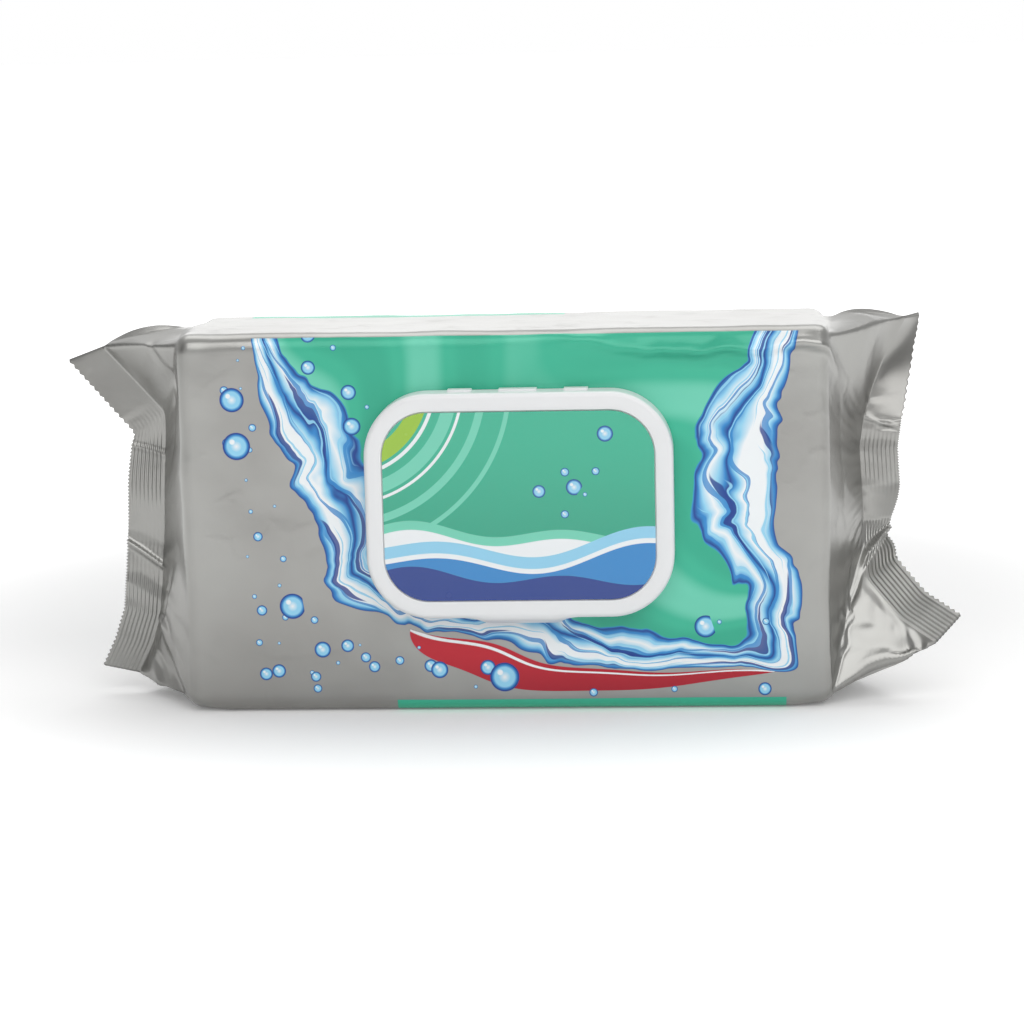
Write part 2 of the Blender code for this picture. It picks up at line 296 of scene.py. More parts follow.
def make_group(name, sockets_in, sockets_out):
    """An empty shader node group, with its input and output nodes. Each socket is (name, kind, default)."""
    group = bpy.data.node_groups.new(name, "ShaderNodeTree")
    for direction, sockets in (("INPUT", sockets_in), ("OUTPUT", sockets_out)):
        for socket_name, kind, default in sockets:
            kind = f"NodeSocket{kind}"
            socket = group.interface.new_socket(socket_name, in_out=direction, socket_type=kind)
            if default is not None:
                socket.default_value = default
    return group, group.nodes.new("NodeGroupInput"), group.nodes.new("NodeGroupOutput")


CREASE_WARP = 0.004
CREASE_HEIGHT = 0.30
GRAIN_HEIGHT = 0.05


def make_crinkle_group():
    """Fine creases of stiff film: the height of the creases, and where they dull the surface."""
    group, given, result = make_group(
        "film_crinkle",
        [("Vector", "Vector", None), ("Crease Size", "Float", 6.0), ("Grain Size", "Float", 0.5)],
        [("Height", "Float", None), ("Dull", "Float", None)],
    )
    t = Tree(group)
    place = given.outputs["Vector"]
    size = t.divided(1 / MM, given.outputs["Crease Size"])
    warp = t.noise(place, size)
    bent = t.vector("ADD", place, t.vector("SCALE", warp["Color"], scale=CREASE_WARP))
    creases = t.node("ShaderNodeTexVoronoi", {"Vector": bent, "Scale": size}, feature="DISTANCE_TO_EDGE")
    ridge = t.fall(creases.outputs["Distance"], 0.0, 0.16)
    soft = t.noise(place, size, 3.0)
    grain = t.noise(place, t.divided(1 / MM, given.outputs["Grain Size"]))
    ridge = t.times(ridge, t.ease(warp["Fac"], 0.50, 0.66))
    height = t.line(ridge, CREASE_HEIGHT, soft[0])
    t.put(result.inputs["Height"], t.line(grain[0], GRAIN_HEIGHT, height))
    t.put(result.inputs["Dull"], t.line(grain[0], 0.5, t.times(ridge, 0.3)))
    return group


BUBBLE_STOPS = ((0.0, WHITE_INK), (0.40, SKY), (0.66, SKY), (0.80, BLUE), (0.92, NAVY), (1.0, NAVY))
BUBBLE_GLINT = (0.30, -0.32)


def make_bubble_group():
    """Round bubbles of mixed sizes over a plane in millimetres: their colour and where they are."""
    sockets = [("Vector", "Vector", None), ("Spacing", "Float", 12.0)]
    sockets += [("Smallest", "Float", 0.06), ("Largest", "Float", 0.4)]
    results = [("Color", "Color", None), ("Mask", "Float", None), ("Centre", "Vector", None)]
    group, given, result = make_group("printed_bubbles", sockets, results)
    t = Tree(group)
    place, spacing, smallest, largest = (given.outputs[i] for i in range(4))
    inputs = {"Vector": place, "Scale": t.divided(1.0, spacing), "Randomness": 0.75}
    cells = t.node("ShaderNodeTexVoronoi", inputs, voronoi_dimensions="2D")
    centre = cells.outputs["Position"]
    share = t.math("POWER", t.split(cells.outputs["Color"])[0], 2.2)
    radius = t.times(t.line(share, t.minus(largest, smallest), smallest), spacing)
    offset = t.vector("SUBTRACT", place, centre)
    away = t.divided(t.vector("LENGTH", offset), radius)
    colour = t.ramp(away, BUBBLE_STOPS)
    aside = t.at(*(t.times(radius, part) for part in BUBBLE_GLINT))
    glint = t.divided(t.vector("LENGTH", t.vector("ADD", offset, aside)), radius)
    t.put(result.inputs["Color"], t.mix(t.fall(glint, 0.14, 0.24), colour, WHITE_INK))
    t.put(result.inputs["Mask"], t.fall(away, 0.96, 1.02))
    t.put(result.inputs["Centre"], centre)
    return group


# The printed design, in millimetres on the film laid flat. A wave is its length, its start and its height
FLOW_CORNER = (-80.0, 3.0)
FLOW_WAVES = ((15.0, 0.5, 2.4), (6.3, 2.0, 0.8))
FIELD_EDGE = 34.0
FIELD_RIGHT = 81.0
FIELD_RIGHT_WAVES = ((15.0, 0.0, 3.4), (5.3, 1.0, 0.8))
FIELD_STREAK = (18.0, 0.0, 1.6)
STREAK_SPACING = 4.6
RIBBON_WIDTH = 14.0
RIBBON_WAVE = (21.0, 1.0, 4.5)
RIGHT_RIBBON_WIDTH = 19.0
RIGHT_RIBBON_WAVE = (17.0, 4.0, 6.5)
RIBBON_BLEND = 0.9
RIBBON_WOBBLE = 0.55
RIBBON_NOISE = {"Scale": 0.065, "Detail": 1.6, "Distortion": 0.5}
RIBBON_STOPS = (
    (0.0, NAVY), (0.05, BLUE), (0.10, SKY), (0.18, WHITE_INK), (0.34, WHITE_INK), (0.43, SKY), (0.49, BLUE),
    (0.53, NAVY), (0.57, BLUE), (0.63, SKY), (0.74, WHITE_INK), (0.84, SKY), (0.90, BLUE), (0.96, NAVY),
    (0.985, BLUE), (1.0, MINT),
)
# Fine strands along the ribbons: turns across them, how near its crest each starts, its colour and strength
STRANDS = ((21.0, 0.84, BLUE, 0.85), (37.0, 0.90, SKY, 0.9), (13.0, 0.92, NAVY, 0.9))
STRAND_DRIFT = ((11.0, 0.0, 0.9), (4.7, 1.0, 0.35))
RED_START = 52.0
RED_LENGTH = 118.0
RED_HALF_WIDTH = 7.6
RED_CREST = 2.2
# Bubbles: spacing, smallest and largest share of it, how far from the field they lie, and their shift
BUBBLE_LAYERS = (
    (8.0, 0.05, 0.34, -24.0, -5.0, 3.0),
    (15.0, 0.10, 0.33, -21.0, -9.0, 41.0),
    (11.0, 0.06, 0.30, 16.0, 26.0, 17.0),
)
BUBBLE_SPAN = (-88.0, 78.0)
PANEL_CENTRE = 55.0
PANEL_HALF = (44.0, 24.0)
PANEL_CORNER = 6.0
FACE_SPAN = (0.3, 109.0)
LOWER_BAND_TOP = 3.3
LOWER_BAND_SPAN = (-32.0, 80.0)
REAR_BAND_REACH = (-8.0, 5.0)
REAR_BAND_SPAN = (-78.0, 16.0)


def make_flow_group():
    """A curve that runs down one side and along the bottom, with waves in it.

    Flow counts up across the curve, from the outer corner into the field, and Along counts along it.
    """
    group, given, result = make_group(
        "printed_flow", [("Vector", "Vector", None)], [("Flow", "Float", None), ("Along", "Float", None)]
    )
    t = Tree(group)
    parts = t.split(given.outputs["Vector"])
    x, z = parts[0], parts[1]
    from_left = t.larger(t.plus(x, -FLOW_CORNER[0]), 0.0)
    from_bottom = t.larger(t.minus(z, FLOW_CORNER[1]), 0.0)
    bend = t.math("SQRT", t.times(from_left, from_bottom))
    along = t.minus(x, z)
    t.put(result.inputs["Flow"], t.plus(bend, t.waves(along, *FLOW_WAVES)))
    t.put(result.inputs["Along"], along)
    return group


def distances_in(t, x, z, flow):
    """How far a place lies in from the left, in millimetres, and from all sides, as 0 to 1 over the ribbons."""
    width = t.plus(RIBBON_WIDTH, t.wave(flow["Along"], *RIBBON_WAVE))
    from_left = t.minus(flow["Flow"], FIELD_EDGE)
    left = t.divided(from_left, width)
    right_edge = t.plus(FIELD_RIGHT, t.waves(z, *FIELD_RIGHT_WAVES))
    right_width = t.plus(RIGHT_RIBBON_WIDTH, t.wave(z, *RIGHT_RIBBON_WAVE))
    right = t.divided(t.minus(right_edge, x), right_width)
    inward = t.math("SMOOTH_MIN", left, right, RIBBON_BLEND)
    inputs = {"Vector": t.at(x, z)} | RIBBON_NOISE
    wobble = t.node("ShaderNodeTexNoise", inputs, noise_dimensions="2D").outputs[0]
    return from_left, t.line(t.minus(wobble, 0.5), RIBBON_WOBBLE, inward)


def ribbon_colour(t, inward, along):
    """Water-like bands, with fine strands that run along them."""
    ribbons = t.ramp(inward, RIBBON_STOPS)
    drift = t.waves(along, *STRAND_DRIFT)
    for turns, lowest, strand_colour, part in STRANDS:
        strand = t.math("SINE", t.line(inward, turns, t.times(drift, turns / 9)))
        strand = t.plus(strand, t.wave(along, 8.0, turns, 0.10))
        shown = t.times(t.ease(strand, lowest, lowest + 0.03), t.inside(inward, 0.10, 0.90, 0.06))
        ribbons = t.mix(t.times(shown, part), ribbons, strand_colour)
    return ribbons


def field_colour(t, inward, along, from_left):
    """The mint field, with paler and deeper streaks near the ribbons."""
    bend = t.plus(t.wave(along, *FIELD_STREAK), t.divided(from_left, STREAK_SPACING))
    streak = t.math("SINE", bend)
    fade = t.ease(inward, 1.0, 5.0, 0.85, 0.15)
    field = t.mix(t.times(t.ease(streak, 0.1, 0.9), fade), MINT, PALE_MINT)
    return t.mix(t.times(t.ease(streak, -0.9, -0.2, 0.5, 0.0), fade), field, DEEP_MINT)


def add_red_wave(t, colour, ink, z, along, from_left):
    """A red wave below the field, with a white crest."""
    progress = t.math("DIVIDE", t.plus(along, RED_START), RED_LENGTH, clamp=True)
    taper = t.math("POWER", t.math("SINE", t.times(progress, math.pi)), 0.7)
    off_red = t.math("ABSOLUTE", t.plus(from_left, t.line(taper, RED_HALF_WIDTH, 1.0)))
    red = t.ease(t.minus(t.times(taper, RED_HALF_WIDTH), off_red), 0.0, 0.2)
    off_crest = t.math("ABSOLUTE", t.plus(from_left, t.line(taper, RED_CREST, 1.0)))
    crest = t.times(red, t.fall(off_crest, 0.35, 0.55))
    colour = t.mix(red, colour, t.mix(t.ease(z, 0.0, 22.0), DEEP_RED, RED))
    return t.mix(crest, colour, WHITE_INK), t.larger(ink, red)


def add_bubbles(t, colour, ink, place, flow_group, bubble_group):
    """Bubbles that drift off the field, and others on it."""
    for spacing, smallest, largest, low, high, turn in BUBBLE_LAYERS:
        moved = t.vector("ADD", t.at(*place), (turn, 2 * turn, 0.0))
        inputs = {"Vector": moved, "Spacing": spacing, "Smallest": smallest, "Largest": largest}
        bubbles = t.group(bubble_group, inputs)
        centre = t.vector("SUBTRACT", bubbles["Centre"], (turn, 2 * turn, 0.0))
        off_field = t.minus(t.group(flow_group, {"Vector": centre})["Flow"], FIELD_EDGE)
        centre_x = t.split(centre)[0]
        near = t.times(t.inside(off_field, low, high, 0.01), t.inside(centre_x, *BUBBLE_SPAN, 0.01))
        spot = t.times(near, bubbles["Mask"])
        colour = t.mix(spot, colour, bubbles["Color"])
        ink = t.larger(ink, spot)
    return colour, ink


def add_back_panel(t, colour, ink, x, z, on_back):
    """A blank panel with a blue edge on the back."""
    out_x = t.larger(t.minus(t.math("ABSOLUTE", x), PANEL_HALF[0]), 0.0)
    out_z = t.larger(t.minus(t.math("ABSOLUTE", t.minus(z, PANEL_CENTRE)), PANEL_HALF[1]), 0.0)
    away = t.vector("LENGTH", t.at(out_x, out_z))
    panel = t.times(on_back, t.fall(away, PANEL_CORNER, PANEL_CORNER + 0.2))
    colour = t.mix(panel, colour, WHITE_INK)
    edge = t.inside(away, PANEL_CORNER - 0.1, PANEL_CORNER + 0.6, 0.1)
    colour = t.mix(t.times(on_back, edge), colour, NAVY)
    return colour, t.larger(ink, t.times(on_back, t.fall(away, PANEL_CORNER + 0.6, PANEL_CORNER + 0.8)))


def make_print_group(flow_group, bubble_group):
    """The printed design, on the film laid flat in millimetres: its colour, and where there is ink."""
    group, given, result = make_group(
        "film_print", [("Vector", "Vector", None)], [("Color", "Color", None), ("Ink", "Float", None)]
    )
    t = Tree(group)
    parts = t.split(given.outputs["Vector"])
    flat_x, girth = parts[0], parts[1]

    # The back carries the same field, turned round
    half_loop = HALF_LOOP / MM
    on_back = t.math("GREATER_THAN", girth, half_loop)
    on_front = t.minus(1.0, on_back)
    x = t.times(flat_x, t.line(on_back, -2.0, 1.0))
    z_back = t.minus(half_loop + PACK_HEIGHT / MM, girth)
    z = t.plus(t.times(on_front, girth), t.times(on_back, z_back))

    flow = t.group(flow_group, {"Vector": t.at(x, z)})
    along = flow["Along"]
    from_left, inward = distances_in(t, x, z, flow)
    ribbons = ribbon_colour(t, inward, along)
    field = field_colour(t, inward, along, from_left)
    colour = t.mix(t.ease(inward, 0.995, 1.005), ribbons, field)
    ink = t.ease(inward, -0.004, 0.004)
    colour, ink = add_red_wave(t, colour, ink, z, along, from_left)
    colour, ink = add_bubbles(t, colour, ink, (x, z), flow_group, bubble_group)
    colour, ink = add_back_panel(t, colour, ink, x, z, on_back)

    # The two long sides are bare film, with a mint band along one edge of each
    on_face = t.inside(z, *FACE_SPAN)
    under = t.times(on_front, t.fall(z, LOWER_BAND_TOP, LOWER_BAND_TOP + 0.3))
    under = t.times(under, t.inside(x, *LOWER_BAND_SPAN, 0.2))
    rear_low, rear_high = (half_loop + reach for reach in REAR_BAND_REACH)
    rear = t.times(t.inside(girth, rear_low, rear_high), t.inside(flat_x, *REAR_BAND_SPAN, 0.2))
    band = t.larger(under, rear)
    t.put(result.inputs["Color"], t.mix(band, colour, MINT))
    t.put(result.inputs["Ink"], t.larger(t.times(ink, on_face), band))
    return group


def new_material(name):
    material = bpy.data.materials.new(name)
    material.use_nodes = True
    return material, Tree(material.node_tree), material.node_tree.nodes["Principled BSDF"]


FILM_METALLIC = 0.72
INK_METALLIC = 0.10
SEAL_METALLIC = 0.35


def make_film_material(crinkle_group, print_group):
    """The film with its print, where ink covers the metal."""
    material, t, shader = new_material("printed_silver_film")
    flat = t.node("ShaderNodeUVMap", uv_map="film").outputs[0]
    printed = t.group(print_group, {"Vector": t.vector("SCALE", flat, scale=1 / MM)})
    place = t.place()
    crinkle = t.group(crinkle_group, {"Vector": place, "Crease Size": 11.0})
    cloud = t.noise(place, 18.0, 3.0)
    silver = t.mix(t.ease(cloud[0], 0.3, 0.7), DULL_SILVER, SILVER)
    ink = printed["Ink"]
    t.put(shader.inputs["Base Color"], t.mix(ink, silver, printed["Color"]))
    t.put(shader.inputs["Metallic"], t.line(ink, INK_METALLIC - FILM_METALLIC, FILM_METALLIC))
    rough = t.line(crinkle["Dull"], 0.10, 0.27)
    t.put(shader.inputs["Roughness"], t.line(ink, 0.05, rough))
    t.put(shader.inputs["Normal"], t.bump(crinkle["Height"], 0.35, 0.0004))
    return material


def make_bare_film_material(crinkle_group, name, low, high, metallic):
    """Film with no print, such as the back seam or the seal under the lid."""
    material, t, shader = new_material(name)
    place = t.place()
    crinkle = t.group(crinkle_group, {"Vector": place, "Crease Size": 7.0})
    cloud = t.noise(place, 40.0, 3.0)
    t.put(shader.inputs["Base Color"], t.mix(t.ease(cloud[0], 0.3, 0.7), low, high))
    shader.inputs["Metallic"].default_value = metallic
    t.put(shader.inputs["Roughness"], t.line(crinkle["Dull"], 0.12, 0.26))
    t.put(shader.inputs["Normal"], t.bump(crinkle["Height"], 0.4, 0.0003))
    return material


def make_plastic_material():
    """White moulded polypropylene, with a faint grain and slow changes of gloss."""
    material, t, shader = new_material("white_moulded_plastic")
    place = t.place()
    slow = t.noise(place, 60.0)
    grain = t.noise(place, 2600.0)
    t.put(shader.inputs["Base Color"], t.mix(slow[0], rgb(241, 242, 243), rgb(245, 246, 247)))
    t.put(shader.inputs["Roughness"], t.line(slow[0], 0.06, 0.28))
    t.put(shader.inputs["Normal"], t.bump(grain[0], 0.08, 0.00005))
    return material


# The label's design, in millimetres from the lid's middle
LABEL_RIPPLES = (
    (21.0, 25.5, LEAF), (26.6, 27.4, WHITE_INK), (30.0, 33.5, PALE_MINT), (34.6, 35.2, WHITE_INK),
    (39.5, 41.5, PALE_MINT), (47.5, 48.6, PALE_MINT),
)
RIPPLE_CENTRE = (-50.0, 36.0)
LABEL_WAVES = (((9.0, 0.8, 2.6), (17.0, 2.2, 2.2)), ((7.0, 2.9, 1.8), (15.0, 0.4, 1.6)))
# From the top one down: where each band starts, which of the waves it follows, and its colour
LABEL_BANDS = (
    (-7.0, 1, PALE_MINT), (-9.6, 1, WHITE_INK), (-10.6, 0, SKY), (-14.0, 0, WHITE_INK), (-15.4, 0, BLUE),
    (-20.2, 1, NAVY),
)
LABEL_BUBBLES = {"Spacing": 9.0, "Smallest": 0.07, "Largest": 0.26}
LABEL_BUBBLE_SPAN = ((4.1, 31.0), (-3.9, 21.0))
LABEL_SOFT = 0.2


def label_bubbles(t, x, z, colour, bubble_group):
    """Bubbles in one part of the label's ground."""
    bubbles = t.group(bubble_group, {"Vector": t.at(x, z)} | LABEL_BUBBLES)
    centre = t.split(bubbles["Centre"])
    low, high = zip(*LABEL_BUBBLE_SPAN)
    near = t.times(t.ease(centre[0], low[0] - 0.1, low[0]), t.ease(centre[1], low[1] - 0.1, low[1]))
    near = t.times(near, t.fall(centre[0], high[0], high[0] + 0.1))
    near = t.times(near, t.fall(centre[1], high[1], high[1] + 0.1))
    return t.mix(t.times(near, bubbles["Mask"]), colour, bubbles["Color"])


def make_label_material(bubble_group):
    """The label: a mint ground with waves along its foot, bubbles above them and ripples from one corner."""
    material, t, shader = new_material("printed_label")
    place = t.place()
    parts = t.split(place)
    x = t.line(parts[0], 1 / MM, -LID_OFFSET_X / MM)
    z = t.line(parts[2], 1 / MM, -LID_CENTRE_UP / MM)
    levels = [t.plus(z, t.waves(x, *waves)) for waves in LABEL_WAVES]
    colour = t.mix(t.ease(z, -26.0, 26.0), DEEP_MINT, MINT)
    distance = t.vector("LENGTH", t.at(t.minus(x, RIPPLE_CENTRE[0]), t.minus(z, RIPPLE_CENTRE[1])))
    for start, end, ring_colour in LABEL_RIPPLES:
        colour = t.mix(t.inside(distance, start, end, LABEL_SOFT), colour, ring_colour)
    colour = label_bubbles(t, x, z, colour, bubble_group)
    for top, which, band_colour in LABEL_BANDS:
        colour = t.mix(t.ease(levels[which], top - LABEL_SOFT, top), band_colour, colour)
    t.put(shader.inputs["Base Color"], colour)
    t.put(shader.inputs["Roughness"], t.line(t.noise(place, 90.0)[0], 0.10, 0.20))
    shader.inputs["Coat Weight"].default_value = 0.25
    return material


# Meshes


def mesh_object(name, points, faces, material, uvs=None, smooth_angle=math.radians(35)):
    """A mesh object at the origin, shaded smooth."""
    mesh = bpy.data.meshes.new(name)
    mesh.from_pydata([tuple(p) for p in points], [], faces)
    mesh.validate()
    if uvs is not None:
        layer = mesh.uv_layers.new(name="film")
        corners = np.empty(len(mesh.loops), dtype=np.int32)
        mesh.loops.foreach_get("vertex_index", corners)
        sizes = np.empty(len(mesh.polygons), dtype=np.int32)
        mesh.polygons.foreach_get("loop_total", sizes)
        placed = np.asarray(uvs, float)[corners]
        highest = np.maximum.reduceat(placed[:, 1], np.concatenate([[0], np.cumsum(sizes)[:-1]]))
        behind = np.repeat(highest, sizes) - placed[:, 1] > HALF_LOOP
        placed[behind, 1] += 2 * HALF_LOOP
        layer.uv.foreach_set("vector", placed.astype(np.float32).ravel())
    mesh.materials.append(material)
    mesh.shade_smooth()
    if smooth_angle is not None:
        mesh.set_sharp_from_angle(angle=smooth_angle)
    made = bpy.data.objects.new(name, mesh)
    bpy.context.scene.collection.objects.link(made)
    return made


def face_out(made):
    """Turns the faces of a closed mesh outwards."""
    bm = bmesh.new()
    bm.from_mesh(made.data)
    bmesh.ops.recalc_face_normals(bm, faces=bm.faces)
    bm.to_mesh(made.data)
    bm.free()


def dress(made, body, slot_name, *nodes):
    """Makes a piece ride on a body and hides the solids that it stands for. The slot name is not used."""
    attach(made, body)
    if nodes:
        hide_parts(*nodes)
    return made


# The film


def section_half():
    """Half of the filled pack's section: from the middle of its underside up its face to its top's middle.

    Returns (distance from the middle, height, position round the film), with even steps along the film.
    """
    flat = HALF_DEPTH - EDGE_RADIUS
    arc = EDGE_RADIUS * math.pi / 2
    whole = HALF_LOOP
    rows = []
    for i in range(HALF_POINTS + 1):
        place = whole * i / HALF_POINTS
        low = min(place, whole - place)
        if low <= flat:
            across, up = low, 0.0
        elif low <= flat + arc:
            turn = (low - flat) / EDGE_RADIUS
            across = flat + EDGE_RADIUS * math.sin(turn)
            up = EDGE_RADIUS * (1 - math.cos(turn))
        else:
            across, up = HALF_DEPTH, EDGE_RADIUS + low - flat - arc
        up = up if place < whole / 2 else PACK_HEIGHT - up
        rows.append((across, up, place - whole / 2 + PACK_HEIGHT / 2))
    return np.array(rows)


def along_seal(rows):
    """The seal's rows at even shares of the film, with their corners a little rounded."""
    table = np.array(rows, float)
    shares = np.linspace(0.0, 1.0, HALF_POINTS + 1)
    columns = np.stack([np.interp(shares, table[:, 0], table[:, i]) for i in range(1, table.shape[1])], 1)
    for _ in range(3):
        columns[1:-1] = (columns[:-2] + 2 * columns[1:-1] + columns[2:]) / 4
    return columns


def unit(vectors):
    return vectors / np.maximum(np.linalg.norm(vectors, axis=-1, keepdims=True), 1e-12)


def lower_of(first, second, soft):
    """The lower of two values, with the change from one to the other rounded off."""
    part = np.clip(0.5 + 0.5 * (second - first) / soft, 0, 1)
    return second * (1 - part) + first * part - soft * part * (1 - part)


def ear_shift(shares, start, target, part):
    """How far the film stands out of its straight way where it is drawn tight from corner to seal tip."""
    from_tip = np.minimum(shares, 1 - shares) / CORNER_SHARE
    crease = np.clip(1 - from_tip, 0.02, 0.98)[:, None]
    corner = round(CORNER_SHARE * HALF_POINTS)
    low = (shares < 0.5)[:, None]
    tip = np.where(low, target[0], target[-1])
    edge = np.where(low, start[corner], start[-1 - corner])
    shift = edge + (tip - edge) * crease - start - (target - start) * crease
    rise = lower_of(part / crease, (1 - part) / (1 - crease), 0.06)
    return EAR_TAUT * np.where(from_tip[:, None] < 1, np.clip(rise, 0, 1) * shift, 0.0)


class PackEnd:
    """The film of one end, from the filled part to the seal's cut edge, worked out as a right end."""

    def __init__(self, rows, folds, side):
        self.folds, self.side = folds, side
        self.half = section_half()
        self.shares = np.linspace(0.0, 1.0, HALF_POINTS + 1)
        reach, depth, height, up, back, self.swell = along_seal(rows).T
        self.inner = np.stack([HALF_LENGTH + reach * FREE_FILM, depth * FREE_FILM, height * PACK_HEIGHT], 1)
        up, back = np.radians(up), np.radians(back)
        self.out = np.stack([np.cos(up) * np.cos(back), np.sin(back), np.sin(up) * np.cos(back)], 1)
        facing = unit(np.cross(np.gradient(self.inner, axis=0), self.out))
        self.facing = facing * np.where(facing[:, 1:2] > 0, -1.0, 1.0)
        self.thick = np.full((HALF_POINTS + 1, 1), SEAL_THICKNESS / 2)
        self.thick[0] = self.thick[-1] = 0.0

    def body_edge(self, facing_sign, x):
        return np.stack([np.full(len(self.half), x), facing_sign * self.half[:, 0], self.half[:, 1]], 1)

    def seal_point(self, facing_sign, distance):
        return self.inner + self.out * distance - self.facing * self.thick * facing_sign

    def free_point(self, facing_sign, part):
        """The free film, part of the way from the shoulder to the seal."""
        corner = self.body_edge(facing_sign, HALF_LENGTH)
        target = self.seal_point(facing_sign, 0.0)
        start = corner + unit(target - corner) * SHOULDER
        ear = ear_shift(self.shares, start, target, part)
        from_middle = corner - np.array([HALF_LENGTH, 0.0, PACK_HEIGHT / 2])
        outward = unit(from_middle * (0.0, 1.0, 1.0) + (SWELL_LEAN * HALF_DEPTH, 0, 0))
        across_film = unit(np.cross(np.gradient(corner, axis=0), target - corner)) * facing_sign
        fold = fold_heights(self.folds, self.shares, part, facing_sign)
        slack = 1.0 if facing_sign > 0 else FRONT_SWELL
        swollen = outward * (slack * self.swell * MM * math.sin(math.pi * part))[:, None]
        return start + (target - start) * part + ear + swollen + across_film * fold[:, None]

    def shoulder_point(self, facing_sign, part):
        corner = self.body_edge(facing_sign, HALF_LENGTH)
        first = self.body_edge(facing_sign, HALF_LENGTH - SHOULDER)
        last = self.free_point(facing_sign, 0.0)
        return first * (1 - part) ** 2 + corner * 2 * part * (1 - part) + last * part**2

    def both_sides(self, front, rear):
        """A ring that runs up the front and down the rear."""
        return np.concatenate([front, rear[-2:0:-1]]) * (self.side, 1, 1)

    def ring(self, point_of, value):
        return self.both_sides(point_of(-1, value), point_of(1, value))

    def rings(self):
        """From the shoulder out: places, position along the flat film, and distance across the seal."""
        rows = []
        for part in np.arange(SHOULDER_RINGS) / SHOULDER_RINGS:
            along = HALF_LENGTH + (2 * part - 1) * SHOULDER
            rows.append((self.ring(self.shoulder_point, part), along, 0.0))
        for part in np.arange(FREE_RINGS) / FREE_RINGS:
            along = HALF_LENGTH + SHOULDER + (FREE_FILM - SHOULDER) * part
            rows.append((self.ring(self.free_point, part), along, 0.0))
        for part in np.arange(SEAL_RINGS + 1) / SEAL_RINGS:
            along = HALF_LENGTH + FREE_FILM + SEAL_WIDTH * part
            rows.append((self.ring(self.seal_point, part * SEAL_WIDTH), along, part))
        return rows

    def seal_ways(self, press):
        """The way that the seal faces, as long as its ridges are pressed, and the way out to its cut edge."""
        facing = self.facing * np.interp(self.shares, PRESS_SHARES, press)[:, None]
        return self.both_sides(facing, facing), self.both_sides(self.out, self.out)


def film_grid():
    """The whole film as a grid of rings by points, with its flat coordinates and the data of its seals."""
    half = section_half()
    left, right = PackEnd(LEFT_SEAL, LEFT_FOLDS, -1), PackEnd(RIGHT_SEAL, RIGHT_FOLDS, 1)
    girth = np.concatenate([half[:, 2], 2 * half[-1, 2] - half[-2:0:-1, 2]])
    section = np.concatenate([half[:, :2] * (-1, 1), half[-2:0:-1, :2]])
    reach = HALF_LENGTH - SHOULDER
    left_rows, right_rows = left.rings(), right.rings()
    rows = [(ring, -along, part) for ring, along, part in reversed(left_rows)]
    for i in range(1, BODY_RINGS):
        x = -reach + 2 * reach * i / BODY_RINGS
        rows.append((np.column_stack([np.full(len(section), x), section]), x, 0.0))
    rows += right_rows
    places, lengths, across = (np.array(column) for column in zip(*rows))
    uvs = np.empty(places.shape[:2] + (2,))
    uvs[..., 0] = lengths[:, None]
    uvs[..., 1] = girth[None, :]
    count = len(left_rows)
    facing, out = np.zeros_like(places), np.zeros_like(places)
    facing[:count], out[:count] = left.seal_ways(PRESS_LEFT)
    facing[-count:], out[-count:] = right.seal_ways(PRESS_RIGHT)
    return places, uvs, across, facing, out


def grid_normals(places):
    """Outward normals of the film's grid."""
    along = np.gradient(places, axis=0)
    around = np.roll(places, -1, axis=1) - np.roll(places, 1, axis=1)
    return unit(np.cross(along, around))


def smooth_step(value, low, high):
    part = np.clip((value - low) / (high - low), 0.0, 1.0)
    return part * part * (3 - 2 * part)


def noise_over(places, size, seed):
    """Smooth noise from -1 to 1 at each place."""
    flat = places.reshape(-1, 3) / size + seed
    return np.array([noise.noise(p) for p in flat.tolist()]).reshape(places.shape[:-1])


def lid_distance(places):
    """How far each place lies outside the lid's outline, seen from the front."""
    x = np.abs(places[..., 0] - LID_OFFSET_X) - (LID_WIDTH / 2 - LID_CORNER)
    z = np.abs(places[..., 2] - LID_CENTRE_UP) - (LID_HEIGHT / 2 - LID_CORNER)
    return np.hypot(np.maximum(x, 0), np.maximum(z, 0)) - LID_CORNER


def crumple(places, uvs, along_size, around_size, seed):
    """Flat facets with sharp creases between them, from -1 to 1, as in crumpled film."""
    whole = 2 * HALF_LOOP
    cells = round(whole / around_size)
    bend = noise_over(places, 0.016, seed)
    u = uvs[..., 0] / along_size + 0.6 * bend + 50
    v = uvs[..., 1] / whole * cells + 0.6 * noise_over(places, 0.019, seed + 4.0) + cells
    heights = np.random.default_rng(int(seed * 10)).uniform(-1, 1, (128, cells))
    i, j = np.floor(u).astype(int), np.floor(v).astype(int)
    f, g = u - i, v - j

    def at(step_i, step_j):
        return heights[(i + step_i) % 128, (j + step_j) % cells]

    low = at(0, 0) * (1 - f - g) + at(1, 0) * f + at(0, 1) * g
    high = at(1, 1) * (f + g - 1) + at(1, 0) * (1 - g) + at(0, 1) * (1 - f)
    return np.where(f + g < 1, low, high)


